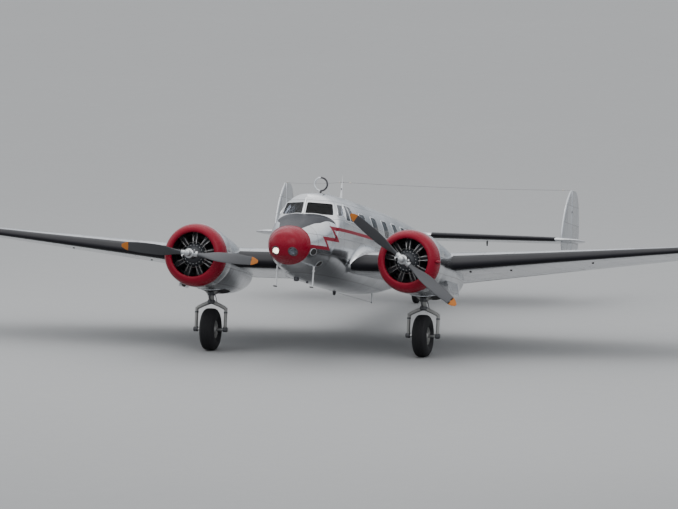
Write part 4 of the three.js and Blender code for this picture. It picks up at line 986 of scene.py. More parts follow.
x = np.array([*np.linspace(0, 2.6, 14), 2.75, 2.9, 3.0, 3.06, 3.12, 3.18, 3.23, 3.28, 3.32, 3.34, 3.35])
y, height = tail_rings(*between(TAILPLANE, x))
half_plane = spread(x[:, None], y, TAIL_Z + height)
whole_plane = np.concatenate([half_plane[::-1] * [-1, 1, 1], half_plane[1:]])
piece("tailplane_skin", [solid(whole_plane)], "airframe", "polished", TAIL_SHEETS, ["tailplane"])
x = np.linspace(0.40, 2.86, 26)
layers = []
for proud in (0.004, -0.004):
    y, height = tail_rings(*between(TAILPLANE, x), proud, reach=0.11, count=10)
    layers.append(spread(x[:, None], y, TAIL_Z + height))
piece("tailplane_boots", both(layered(*layers)), "airframe", "tyre", BOOT)

# Columns: x, nose radius, rear y
ELEVATOR = np.array([[0.240, 0.046, 11.400], [2.560, 0.036, 11.350], [2.840, 0.033, 11.020]])
x = np.array([*np.linspace(0.24, 2.56, 16), 2.62, 2.70, 2.78, 2.84])
y, height = hinged_rings(ELEVATOR_HINGE, *between(ELEVATOR, x))
tab_x = np.linspace(1.20, 1.95, 6)[:, None]
tab_y = between(ELEVATOR, tab_x)[1] - np.array([0.105, 0.100, 0.100, 0.105])
shapes = [
    solid(spread(x[:, None], y, TAIL_Z + height)),
    solid(spread(tab_x, tab_y, TAIL_Z + np.array([0.0155, 0.015, -0.015, -0.0155]))),
    tube([(1.5, 11.225, TAIL_Z + 0.012), (1.5, 11.245, TAIL_Z + 0.060)], 0.006, 8),
    tube([(1.5, 11.245, TAIL_Z + 0.056), (1.5, 11.06, TAIL_Z + 0.042)], 0.004, 8),
]
piece(
    "elevator_skin",
    [*shapes, *[flipped(shape) for shape in shapes], bar((-0.26, 0.26), ELEVATOR_HINGE, TAIL_Z, 0.020, 24)],
    "elevator", "polished", TAIL_SHEETS, ["elevator"],
)

FIN_X, FIN_END, RUDDER_HINGE, RUDDER_END = 2.930, 10.995, 11.040, 11.762
# Columns: z, front y, rear y, thickness of the fin, nose radius of the rudder
FIN = np.array([
    [0.640, 10.840, 11.330, 0.020, 0.012], [0.700, 10.620, 11.500, 0.046, 0.022], [0.840, 10.430, 11.670, 0.072, 0.032],
    [1.040, 10.330, 11.752, 0.084, 0.036], [1.286, 10.340, 11.760, 0.082, 0.036], [1.510, 10.430, 11.735, 0.076, 0.034],
    [1.722, 10.560, 11.680, 0.066, 0.030], [1.902, 10.720, 11.590, 0.052, 0.024], [2.019, 10.870, 11.480, 0.034, 0.018],
    [2.075, 10.950, 11.370, 0.020, 0.012],
])
LUGS, LUG_NOTCH = (0.880, 1.640), 0.022
z = np.concatenate([np.linspace(0.640, 0.70, 4), np.linspace(0.72, 2.005, 40), np.linspace(2.019, 2.075, 4)])
front, _, thick, _ = np.moveaxis(faired(FIN, z), -1, 0)
cuts = [z[0], *[at + way * LUG_NOTCH for at in LUGS for way in (-1, 1)], z[-1]]
for word, side in (("left", 1), ("right", -1)):
    fin_x = side * FIN_X
    y, height = tail_rings(front, np.full(len(z), FIN_END), thick)
    lugs = [tube([(fin_x, FIN_END - 0.010, at), (fin_x, RUDDER_HINGE + 0.012, at)], 0.0085, 10, 1) for at in LUGS]
    piece(
        f"fin_skin_{word}", [solid(spread(fin_x + height, y, z[:, None])), *lugs], "airframe", "polished",
        [FIN_SHEETS, DARK_STEEL], [f"fin_{word}"],
    )
    shapes = []
    for low, high in zip(cuts[:-1], cuts[1:]):
        at = np.linspace(low, high, max(3, int((high - low) / 0.03)))
        _, rears, _, radii = np.moveaxis(faired(FIN, at), -1, 0)
        y, height = hinged_rings(RUDDER_HINGE, radii, np.minimum(rears, RUDDER_END))
        if high - low < 3 * LUG_NOTCH:  # beside a lug the nose is cut back behind the pin
            height = np.where(y < RUDDER_HINGE + 0.017, np.sign(height) * radii[:, None], height)
            y = np.maximum(y, RUDDER_HINGE + 0.017)
        shapes.append(solid(spread(fin_x + height, y, at[:, None])))
    shapes += [pole(fin_x, RUDDER_HINGE, (at - 0.034, at + 0.034), 0.006, 12, 1) for at in LUGS]
    balance = [(0.030, 0.02, 1.200), (0.095, 0.03, 1.205)]
    balance = [(side * (FIN_X - inward), RUDDER_HINGE + aft, at) for inward, aft, at in balance]
    piece(
        f"rudder_skin_{word}", [*shapes, tube(balance, 0.008, 10, 1)], f"rudder_{word}", "polished",
        [FIN_SHEETS, DARK_STEEL], [f"rudder_{word}"],
    )

# Tail gear. A fixed leg and strut of steel tube carry a caster fork, which turns on an upright kingpin and
# holds a small tyre.
TAIL_AXLE = np.array([0, 10.420, -0.100])


def at_tail(name, shapes, body, slot, finishes, stands_for, **ways):
    """A piece of shapes drawn upright about the tail axle, set on the level airframe."""
    tilt = np.array([[1, 0, 0], [0, AFT[1], AFT[2]], [0, UP[1], UP[2]]])
    level = [(points @ tilt.T + TAIL_AXLE, faces, mark) for points, faces, mark in shapes]
    piece(name, level, body, slot, finishes, stands_for, **ways)


at_tail("tail_leg_tubes", [
    pole(0, -0.120, (0.290, 0.640), 0.034, 20), tube([(0, -0.120, 0.350), (0, -0.450, 0.570)], 0.020, 14),
    pole(0, -0.120, (0.2905, 0.330), 0.043, 20, 1), pole(0, -0.150, (0.345, 0.375), 0.012, 8, 1),
], "airframe", "gear_steel", [STEEL, DARK_STEEL], ["tail_leg"])
fork = [pole(0, -0.120, (0.202, 0.2895), 0.042, 24, 1), bar((-0.106, 0.106), -0.06, 0.218, 0.026, 16)]
fork += [bar((-0.106, 0.106), y, 0.218, 0.018, 12) for y in (-0.12, 0.01)] + [bar((-0.114, 0.114), 0, 0, 0.014, 16, 1)]
for s in (1, -1):
    arm = [(s * 0.092, 0, -0.026), (s * 0.092, -0.002, 0.02), (s * 0.092, -0.020, 0.222)]
    fork += [tube(arm, [0.020, 0.021, 0.024], 18), bar((s * 0.112, s * 0.118), 0, 0, 0.020, 6, 1)]
at_tail("tail_fork_arms", fork, "tail_fork", "gear_steel", [STEEL, DARK_STEEL], ["tail_fork"])
tyre, hub = wheel(0.1890, 0.062, 0.078, 0.0143, (0.022, 0.0075), 0.003, 64, 6, 0.005)
at_tail("tail_wheel_tyre", tyre, "tail_wheel", "tyre", TYRE, ["tail_tyre"], crease=45)
at_tail("tail_wheel_hub", hub, "tail_wheel", "gear_steel", [STEEL, DARK_STEEL], ["tail_hub"])

# Nose cap. A spun red cap, screwed on to the front of the hood, with two landing lights behind round lenses.
# The lamp on the right is lit.
CAP_TIP, LAMP_RADIUS, LAMP_Y = 0.012, 0.076, 0.105
LAMPS = {"left": (0.172, 0.040), "right": (-0.166, 0.050)}


def circle(at, radius, count, stretch=1.0):
    """A round outline about a place in 2-D, stretched along its first axis."""
    angle = np.arange(count) * 2 * np.pi / count
    return np.stack([at[0] + stretch * radius * np.cos(angle), at[1] + radius * np.sin(angle)], -1)


def on_nose(flat, lift):
    """Points (x, z) put on the front of the cap, and lifted forwards."""
    x, z = flat[..., 0], flat[..., 1]
    low, high = np.full(x.shape, CAP_TIP), np.full(x.shape, NOSE_CAP_END)
    for _ in range(30):
        middle = (low + high) / 2
        inside = half_width(HOOD, middle, z) > np.abs(x)
        low, high = np.where(inside, low, middle), np.where(inside, middle, high)
    return spread(x, high - lift, z)


cap_y = np.concatenate([CAP_TIP * np.linspace(0.15, 1, 5) ** 2, np.linspace(0.018, NOSE_CAP_END - 0.0003, 44)])
grid = body_grid(HOOD, np.maximum(cap_y, CAP_TIP), 96)
middle = np.array([0, 0, 0.1775])  # the hood's ring is shrunk towards the tip by a root
grid = middle + (grid - middle) * (np.minimum(cap_y / CAP_TIP, 1) ** 0.5)[:, None, None]
grid[..., 1] = cap_y[:, None]
cap = piece("nose_cap_shell", [solid(grid)], "airframe", "red_paint", [RED], ["nose_cap"])
carve(cap, [tube([(x, -0.02, z), (x, LAMP_Y + 0.080, z)], LAMP_RADIUS, 48) for x, z in LAMPS.values()])
mirror_metal = painted("lamp_reflector", (0.85, 0.85, 0.84), 0.12, metal=1.0, mottle=0.03, relief=0.0)
bulb_glow, coat, *_ = workshop("lamp_bulb")
coat(Base_Color=(1.0, 0.93, 0.75, 1), Emission_Color=(1.0, 0.90, 0.66, 1), Emission_Strength=9.0, Roughness=0.3)
shell = [
    (LAMP_RADIUS * 0.97 * math.sin(a), 0.075 - 0.075 * (1 - math.cos(a)) * 0.95) for a in np.linspace(0.02, 1.50, 14)
] + [(LAMP_RADIUS * 0.985, 0.004), (LAMP_RADIUS * 0.985, 0.078), (0.0, 0.0785)]
bulb = [(0.0, 0.025), (0.013, 0.029), (0.018, 0.042), (0.012, 0.062), (0, 0.066)]
for word, at in LAMPS.items():
    place = (at[0], LAMP_Y, at[1])
    piece(f"lamp_reflector_{word}", [moved(turned(shell, 40), place)], "airframe", "polished", mirror_metal)
    glow = bulb_glow if word == "right" else mirror_metal
    piece(f"lamp_bulb_{word}", [moved(turned(bulb, 20), place)], "airframe", None, glow)
    lamp_rim = rim(circle(at, LAMP_RADIUS - 0.006, 48), on_nose, 0.014, 0.004, 0.012)
    piece(f"lamp_rim_{word}", [lamp_rim], "airframe", "polished", DARK_STEEL)
    lens = plate(circle(at, LAMP_RADIUS - 0.004, 48), on_nose, 0.001, 0.004)
    piece(f"lamp_lens_{word}", [lens], "airframe", "window_glass", glass)

# Hull paint. A dark panel on the hood keeps glare out of the windscreen. A red stripe zigzags up each side
# from the nose cap and runs aft below the windows. Both are sprayed on, so each is a skin a millimetre thick.
GLARE_PAINT = painted(
    "dark_grey_glare_paint", (0.016, 0.018, 0.024), 0.42, mottle=0.14, grain=26, relief=0.0001, shine=0.18,
)
# Columns: y, half width
GLARE_EDGE = np.array([[0.4505, 0.225], [0.600, 0.252], [0.750, 0.287], [0.970, 0.347], [1.130, 0.425],
                       [1.400, 0.503], [1.600, 0.560], [1.760, 0.600]])


def hood_top(x, y):
    """Height of the hood's upper side at x and y."""
    half, top, wide, _, power, _ = np.moveaxis(faired(HOOD, y), -1, 0)
    return wide + (top - wide) * (1 - np.clip(np.abs(x) / half, 0, 0.999) ** power) ** (1 / power)


share = np.linspace(-1, 1, 61)
end = np.full(share.shape, 1.5)
for _ in range(40):
    x = share * between(GLARE_EDGE, end)[0]
    end = 0.5 * end + 0.5 * np.minimum(windscreen_y(x, hood_top(x, end)) + 0.004, GLARE_EDGE[-1, 0])
y = GLARE_EDGE[0, 0] + (end - GLARE_EDGE[0, 0])[None] * np.linspace(0, 1, 70)[:, None]
x = share * between(GLARE_EDGE, y)[0]
panel = layered(*[spread(x, y, hood_top(x, y) + lift) for lift in (0.0014, -0.006)])
piece("glare_panel", [panel], "airframe", "black_panel", GLARE_PAINT, crease=24)

STRIPE_RED = painted(
    "stripe_red_paint", (0.180, 0.003, 0.016), 0.36, mottle=0.10, grain=30, relief=0.00008, shine=0.12,
)
# Columns: y, z, half width of the stroke that starts here
STRIPE = np.array([
    [0.4505, 0.174, 0.032], [1.225, 0.184, 0.030], [1.040, 0.368, 0.034], [1.648, 0.372, 0.030], [1.414, 0.592, 0.034],
    [2.045, 0.588, 0.031], [2.725, 0.583, 0.031], [3.495, 0.580, 0.031], [4.555, 0.568, 0.030], [6.000, 0.562, 0.030],
    [7.266, 0.580, 0.028], [8.300, 0.618, 0.026], [9.300, 0.690, 0.022], [10.300, 0.800, 0.014], [10.900, 0.880, 0.004],
])


def stripe_edges(rows):
    """Both edges of a band along strokes: each stroke's edges lie half its width off its line, and at a corner
    they meet where the edges of the two strokes cross."""
    line, half = rows[:, :2], rows[:-1, 2:]
    along = np.diff(line, axis=0)
    along /= np.linalg.norm(along, axis=1)[:, None]
    across = np.stack([-along[:, 1], along[:, 0]], -1)
    edges = []
    for side in (1, -1):
        start = line[:-1] + side * across * half
        points = [start[0]]
        for here, there, way, onward in zip(start[:-1], start[1:], along[:-1], along[1:]):
            slant, gap = way[0] * onward[1] - way[1] * onward[0], there - here
            if abs(slant) > 0.03:
                there = here + way * ((gap[0] * onward[1] - gap[1] * onward[0]) / slant)
            points.append(there)
        edges.append([*points, line[-1] + side * across[-1] * rows[-1, 2]])
    return np.stack(edges, 1)


edges = stripe_edges(STRIPE)
stripe_rows = []
for first, last in zip(edges[:-1], edges[1:]):
    step = 0.012 if first[0, 0] < 2.1 else 0.03
    count = max(2, int(np.linalg.norm(last.mean(0) - first.mean(0)) / step))
    stripe_rows.append(first + (last - first) * np.linspace(0, 1, count, endpoint=False)[:, None, None])
stripe_rows = np.concatenate([*stripe_rows, edges[-1:]])


def stripe_skin(low=None, high=None):
    """The stripe as a closed skin on the left side, cut off at one station in front and at another behind."""
    rows = stripe_rows
    if low:
        rows = rows[rows[:, 0, 0] > low]
        rows[0, :, 0] = low
    if high:
        rows = rows[rows[:, 0, 0] < high]
        rows[-1, :, 0] = high
    flat = rows[:, :1] + (rows[:, 1:] - rows[:, :1]) * np.linspace(0, 1, 5)[None, :, None]
    ridge = 0.004 * np.exp(-(((flat[..., 0] - 1.68) / 0.06) ** 2))
    return layered(on_side(flat, 0.0016 + ridge), on_side(flat, -0.005))


DOOR_FRONT, DOOR_REAR = 7.288, 7.925
for word, body, shapes in (
    ("left", "airframe", [stripe_skin(high=7.274), stripe_skin(low=7.947)]),
    ("right", "airframe", [flipped(stripe_skin())]),
    ("door", "cabin_door", [stripe_skin(DOOR_FRONT + 0.006, DOOR_REAR - 0.006)]),
):
    piece(f"side_stripe_{word}", shapes, body, "red_paint", STRIPE_RED, crease=24)

# Mouldings and vents. A half-round strip covers the skin joint below the cockpit's windows, a cuff covers the
# joint behind the nose cap, and each side of the nose has two round cold-air inlets whose mouths are dark plates
# of painted shade.
# Painted shade: dark paint for the mouths of vents, scoops and exhausts and for the wheel bays, where the hollows are
# in shade.
OPENING_SHADE = painted("painted_opening_shade", (0.012, 0.012, 0.013), 0.8, relief=0.0)
joint = on_side(np.linspace((2.160, 0.768), (3.600, 0.655), 40), -0.001)
pair("window_rail_{}", [tube(joint, 0.008, 10)], "airframe", "polished", FRAME_METAL)
vents = [circle((y, z), radius, 28, 1.8) for y, z, radius in ((0.624, 0.076, 0.060), (1.113, -0.122, 0.050))]
# Each inlet's mouth is a dark plate on the skin: painted shade for the hollow inside it.
pair("vent_mouths_{}", [plate(vent, on_side, 0.0018, 0.010) for vent in vents], "airframe", "black_panel", OPENING_SHADE)
pair("vent_lips_{}", [rim(vent, on_side, 0.009, 0.006, 0.012) for vent in vents], "airframe", "polished", FRAME_METAL)
cuff = []
for y, lift in ((0.4495, -0.004), (0.4495, 0.0022), (0.452, 0.003), (0.466, 0.003), (0.4685, 0.0022), (0.4685, -0.004)):
    row = hull_grid([y], 128)[0]
    out = row - [0, y, hull_middle(y)]
    cuff.append(row + out / np.linalg.norm(out, axis=1)[:, None] * lift)
piece("nose_cap_cuff", [sheet(np.array([*cuff, cuff[0]]), around=True)], "airframe", "red_paint", RED)

# Windscreen surround. A pressed strip covers the joint between the hood and the windscreen's two planes, and
# a post stands where the planes meet.
x, foot = np.linspace(0.0, 0.560, 30), 1.4
for _ in range(40):
    foot = 0.5 * foot + 0.5 * windscreen_y(x, hood_top(x, foot))
base = spread(x, foot, hood_top(x, foot))
z = np.linspace(0.850, 1.165, 12)
surround = [
    tube(np.concatenate([base[:0:-1] * [-1, 1, 1], base]), 0.013, 12),
    tube(spread(0, windscreen_y(0, z) - 0.004, z), 0.018, 14),
]
piece("windscreen_surround", surround, "airframe", "polished", FRAME_METAL)

# Wing roots. A hand-beaten fillet fairs the fuselage into the wing, from under the nose to the trailing edge.
# Across the corner it is a quarter circle that leaves the wing and meets the hull without a step.
ROOT_SHEETS = metal_sheet("polished_fillet_sheets", [("Y", 0.70, 2.75), ("X", 3.0, -1.5)], rough=0.16)
along = np.concatenate([np.linspace(1.0, 0.0, 44) ** 2, np.linspace(0.02, 0.24, 8) ** 2])
upper = np.arange(len(along)) < 44
ring = wing_point(0.0, along, np.where(upper, section(along, True), section(along, False)))
tangent = np.gradient(ring, axis=0)
normal = spread(0, tangent[:, 2], -tangent[:, 1])
normal /= np.linalg.norm(normal, axis=1)[:, None]
normal *= np.sign((normal * (ring - wing_point(0.0, 0.35, 0.06))).sum(1))[:, None]
turn = np.linspace(0, np.pi / 2, 11)
rows = []
for point, out, radius in zip(ring, normal, np.where(upper, 0.05 + 0.18 * along**0.5, 0.05 + 0.10 * along)):
    arc = point + out * (radius * (1 - np.cos(turn)))[:, None]
    arc[:, 0] += hull_side(arc[:, 1], arc[:, 2]) + radius * (1 - np.sin(turn))
    arc[0] -= out * 0.002
    arc[-1, 0] -= 0.003
    rows.append([*arc, point - out * 0.012 + [hull_side(point[1], point[2]) - 0.012, 0, 0]])
pair("wing_fillet_{}", [solid(np.array(rows))], "airframe", "polished", ROOT_SHEETS)

# Cabin door. A skinned door a hand's breadth narrower than its hole is on pin hinges in front, and has a
# sunk pull handle behind. The same sheet as the hull's runs over it.
HINGE_X, HINGE_Y, KNUCKLE_HALF = 0.652, 7.276, 0.022


def block(low, high, mark=0):
    """A bar from its lowest to its highest corner, with corners rounded 2 mm in the horizontal plane."""
    flat = oblong(low[:2], high[:2], 0.002)
    return solid([spread(*flat.T, z) for z in (low[2], high[2])], mark)


door_outline = oblong((DOOR_FRONT, -0.012), (DOOR_REAR, 0.992), 0.085)
grip = on_side(np.array([[7.860, 0.420], [7.858, 0.421], [7.820, 0.424], [7.760, 0.428], [7.742, 0.429]]), 0.0)
grip[:, 0] += [0.004, 0.020, 0.026, 0.024, 0.014]
door = [
    plate(door_outline, on_side, 0.0, 0.030, rings=10),
    rim(grown(door_outline, -0.030), on_side, 0.012, -0.026, 0.010, mark=1),
    plate(circle((7.860, 0.420), 0.030, 24), on_side, 0.006, 0.010, mark=2, rings=4),
    tube(grip, [0.011, 0.011, 0.010, 0.009, 0.006], 12, mark=2),
]
frame_half = []
for z in (0.290, 0.600):
    hull, out = float(hull_side(HINGE_Y, z)), HINGE_X + 0.003
    frame_half += [
        pole(HINGE_X, HINGE_Y, (z - KNUCKLE_HALF, z - 0.0003), 0.009),
        block((hull - 0.012, HINGE_Y - 0.060, z - KNUCKLE_HALF), (out, HINGE_Y - 0.004, z - 0.0010)),
    ]
    door += [
        pole(HINGE_X, HINGE_Y, (z + 0.0003, z + KNUCKLE_HALF), 0.009, mark=2),
        block((hull - 0.014, HINGE_Y + 0.012, z + 0.0010), (out, HINGE_Y + 0.088, z + KNUCKLE_HALF), 2),
        block((hull + 0.004, HINGE_Y - 0.002, z + 0.0010), (out, HINGE_Y + 0.020, z + KNUCKLE_HALF), 2),
    ]
piece("cabin_door_skin", door, "cabin_door", "polished", [SKIN_SHEETS, BOOT, FRAME_METAL], ["cabin_door"])
piece("door_hinge_halves", frame_half, "airframe", "polished", FRAME_METAL)

# Aerials on the roof. A loop for direction finding, sleeved in black on one side, a mast with a whip on its
# top, and two wires that run from the mast back to the fins' tops. The wires are taut rigging.
LOOP_PAINT = painted("loop_black_enamel", (0.020, 0.020, 0.024), 0.3, mottle=0.15, grain=60, relief=0.0001)
LOOP_METAL = painted("loop_grey_metal", (0.50, 0.52, 0.54), 0.38, metal=0.8, mottle=0.1)
AERIAL_GREY = painted("aerial_grey_paint", (0.55, 0.56, 0.57), 0.4, mottle=0.08, grain=60, relief=0.0001)
WIRE_DARK = painted("wire_dark_steel", (0.10, 0.10, 0.11), 0.45, metal=0.8, grain=300, relief=0.0)
LOOP_Y, LOOP_Z, LOOP_RADIUS, LOOP_TUBE = 2.630, 1.510, 0.127, 0.018
loop = []
for start, stop, thick, mark in ((-92, 92, LOOP_TUBE, 0), (92, 268, LOOP_TUBE * 0.86, 1)):
    angle = np.radians(np.linspace(start, stop, 33))
    half_loop = spread(LOOP_RADIUS * np.cos(angle), LOOP_Y, LOOP_Z + LOOP_RADIUS * np.sin(angle))
    loop.append(tube(half_loop, thick, 18, mark))
loop_top = LOOP_Z + LOOP_RADIUS
whip = [(0.135, LOOP_Y + 0.10, 1.290), (0.137, LOOP_Y + 0.10, 1.345), (0.137, LOOP_Y + 0.095, 1.420)]
loop += [
    pole(0, LOOP_Y, (1.272, 1.330, 1.345, 1.392), [0.026, 0.026, 0.021, 0.020], 20),
    pole(0, LOOP_Y, (1.300, 1.322, 1.326), [0.060, 0.056, 0.030], 28, 1),
    pole(0, LOOP_Y, (loop_top - 0.016, loop_top + 0.0178), [0.022, 0.010], 14),
    tube(whip, [0.011, 0.008, 0.006], 12, 1),
]
piece("loop_aerial_ring", loop, "airframe", "black_panel", [LOOP_PAINT, LOOP_METAL], ["loop_aerial"], crease=40)

MAST_TOP = np.array([0.0, 4.240, 1.660])
mast = [
    tube([(0, 4.200, 1.280), (0, 4.210, 1.375), (0, 4.238, 1.645), MAST_TOP], [0.026, 0.024, 0.011, 0.009], 20),
    tube([(0, 4.201, 1.296), (0, 4.203, 1.312), (0, 4.204, 1.324)], [0.058, 0.046, 0.028], 24),
    tube([(0, 4.226, 1.532), (0, 4.200, 1.533), (0, 4.186, 1.533)], [0.012, 0.014, 0.006], 12, 1),
    tube(MAST_TOP + [(0, -0.001, -0.01), (0, 0.006, 0.060), (0, 0.014, 0.134)], [0.006, 0.003, 0.0015], 8),
    tube(MAST_TOP + [(-0.030, 0.008, 0.004), (0.030, 0.008, 0.004)], 0.007, 10, 1),
]
piece("aerial_mast", mast, "airframe", "gear_steel", [AERIAL_GREY, WIRE_DARK], ["mast"], crease=40)


def hung(start, stop, sag, share):
    """Points at these shares of a taut wire, which hangs sag * 4 t (1 - t) below its straight line."""
    start, share = np.array(start), np.asarray(share)[:, None]
    return start + (stop - start) * share - [0, 0, sag] * (4 * share * (1 - share))


wires = []
for side in (1, -1):
    ends = MAST_TOP + [side * 0.020, 0.012, 0.004], np.array([side * FIN_X, 10.955, 2.072])
    wires.append(tube(hung(*ends, 0.03, np.linspace(0, 1, 25)), 0.0024, 6))
    for at in (0.030, 0.965):
        bead = ends[0] + (ends[1] - ends[0]) * (at + np.array([[-0.004], [-0.002], [0.002], [0.004]]))
        wires.append(tube(bead - [0, 0, 0.03 * 4 * at * (1 - at)], [0.006, 0.013, 0.013, 0.006], 10, 1))
insulator = painted("aerial_bead_porcelain", (0.42, 0.38, 0.33), 0.3, mottle=0.1, grain=80, clear=0.5)
piece("roof_aerial_wires", wires, "airframe", "gear_steel", [WIRE_DARK, insulator], crease=40)

# Under the nose and belly. Two pitot posts with forward heads, short aerial posts with a wire between them,
# a round drift-sight cover, drain bosses and the belly post that the wire ends on.
post = [(0, 1.000, -0.180), (0, 0.990, -0.260), (0, 0.960, -0.575), (0, 0.957, -0.592)]
head = [(0, 1.010, -0.584), (0, 0.990, -0.584), (0, 0.840, -0.588), (0, 0.770, -0.589), (0, 0.755, -0.589)]
pitot = [
    tube(post, [0.019, 0.016, 0.012, 0.010]), tube(head, [0.004, 0.013, 0.013, 0.010, 0.006], 14, 1),
    tube([(0, 0.992, -0.262), (0, 0.990, -0.275)], 0.030, 20),
]
pair(
    "pitot_post_{}", pitot, "airframe", "gear_steel", [AERIAL_GREY, WIRE_DARK], ["pitot_{}"], apart=0.360, crease=40,
)


def belly(x, y):
    """Height of the hull's underside at x and y."""
    half, _, wide, bottom, _, power = np.moveaxis(faired(CABIN if y > 1.8 else HOOD, np.array(y)), -1, 0)
    return float(wide - (wide - bottom) * (1 - min(abs(x) / half, 0.99) ** power) ** (1 / power))


def fitting(x, places, radii, sides, mark=0):
    """A tube that hangs from the belly through places, each its y and its height above the belly at the first."""
    z = belly(x, places[0][0])
    return tube([(x, y, z + height) for y, height in places], radii, sides, mark)


post = [(0, 6.900, -0.300), (0, 6.905, -0.330), (0, 6.928, -0.505), (0, 6.930, -0.520)]
piece("belly_aerial_post", [
    tube(post, [0.018, 0.015, 0.009, 0.007], 14), tube([(0.010, 6.890, -0.508), (0.010, 6.850, -0.510)], 0.009, 10, 1),
], "airframe", "gear_steel", [AERIAL_GREY, WIRE_DARK], ["belly_post"], crease=40)
wire_end = (-0.300, 1.430, belly(-0.300, 1.420) - 0.082)
fittings = [
    fitting(-0.300, [(1.420, 0.02), (1.428, -0.085)], [0.014, 0.008], 12),
    fitting(-0.180, [(1.780, h) for h in (0.020, -0.046, -0.062, -0.070)], [0.054, 0.052, 0.044, 0.024], 28, 1),
    fitting(-0.060, [(2.150, h) for h in (0.020, -0.024, -0.030)], [0.024, 0.022, 0.014], 18, 1),
    fitting(-0.180, [(4.680, 0.02), (4.700, -0.060), (4.706, -0.070)], [0.036, 0.030, 0.018], 18, 1),
    fitting(0.300, [(1.200, 0.02), (1.200, -0.030)], [0.030, 0.022], 18, 1),
    tube(hung(wire_end, np.array([0.0, 6.926, -0.500]), 0.012, np.linspace(0, 1, 25)), 0.0022, 6, 1),
]
piece("belly_fittings", fittings, "airframe", "gear_steel", [AERIAL_GREY, WIRE_DARK], crease=40)

# Cabin. Carpet glued over the floor and the wing's hump, and a bulkhead of painted board behind the cockpit,
# screwed to a frame of the hull, with a doorway.
CARPET = painted("dark_cabin_carpet", (0.060, 0.055, 0.050), 0.95, mottle=0.3, grain=260, relief=0.002)
TRIM = painted("bulkhead_trim_paint", (0.22, 0.21, 0.19), 0.6, grain=80)
FLOOR_Z, ROOT_Y, ROOT_DEPTH, WALL_Y = -0.060, 2.560, 3.350, 2.860
floor_y = np.linspace(1.620, 8.285, 120)
share = np.clip((floor_y - ROOT_Y) / ROOT_DEPTH, 0, 1)
hump = np.maximum(wing_point(0.0, share, section(share, True))[:, 2] + 0.012, FLOOR_Z)
floor_z = np.where((floor_y > ROOT_Y) & (floor_y < ROOT_Y + ROOT_DEPTH), hump, FLOOR_Z)
wide = (hull_side(floor_y, floor_z) - 0.052)[:, None] * np.linspace(-1, 1, 13)
carpet = layered(*[spread(wide, floor_y[:, None], floor_z[:, None] - drop) for drop in (0.0, 0.010)])
piece("cabin_carpet", [carpet], "airframe", None, CARPET)


def carpet_z(y):
    """Height of the carpet at y."""
    return float(np.interp(y, floor_y, floor_z))


angle = np.arange(96) * 2 * np.pi / 96
c, s = np.cos(angle), np.sin(angle)
reach = 1 / ((np.abs(c) / 0.235) ** 6 + (np.abs(s) / np.where(s > 0, 0.640, 0.380)) ** 6) ** (1 / 6)
(outer, inner), (outer_back, inner_back) = [
    (hull_grid([y], 96, 0.047)[0], spread(reach * c, y, hull_middle(WALL_Y) + reach * s))
    for y in (WALL_Y, WALL_Y + 0.020)
]
bulkhead = sheet(np.array([outer, inner, inner_back, outer_back, outer]), around=True)
piece("cockpit_bulkhead", [bulkhead], "airframe", None, TRIM)

# Seats. Buckets of sheet on tube legs, each with a leather seat cushion and back cushion. A cushion is a crowned
# pillow: its sides pull in between its corners, it thins to a seam round the edge, and sewn channels cross it.
LEATHER = painted("brown_seat_leather", (0.115, 0.050, 0.026), 0.46, mottle=0.28, grain=150, relief=0.0007)
SEAT_METAL = painted("seat_frame_paint", (0.30, 0.31, 0.31), 0.45, metal=0.4, mottle=0.12)


def pillow(middle, half, along, out, channels):
    """A cushion about its middle: half gives its half width, half depth and crown. along is its depth's
    direction and out points up through its crown: out * crown * ((1 - u^4) (1 - v^4)) ** 0.5."""
    u, v = np.meshgrid(np.linspace(-1, 1, 25), np.linspace(-1, 1, 37))
    x = half[0] * u * (1 - 0.045 * (1 - v**2) - 0.055 * (u * v) ** 8)
    w = half[1] * v * (1 - 0.035 * (1 - u**2) - 0.055 * (u * v) ** 8)
    crown = half[2] * ((1 - u**4) * (1 - v**4)) ** 0.5
    for at in channels:
        crown = crown * (1 - 0.30 * np.exp(-(((v - at) / 0.045) ** 2)) * (1 - u**8))
    flat = middle + x[..., None] * [1.0, 0, 0] + w[..., None] * np.array(along)
    seam = -0.30 * half[2] * ((1 - u**8) * (1 - v**8)) ** 0.5
    return [sheet(flat + height[..., None] * np.array(out)) for height in (crown, seam)]


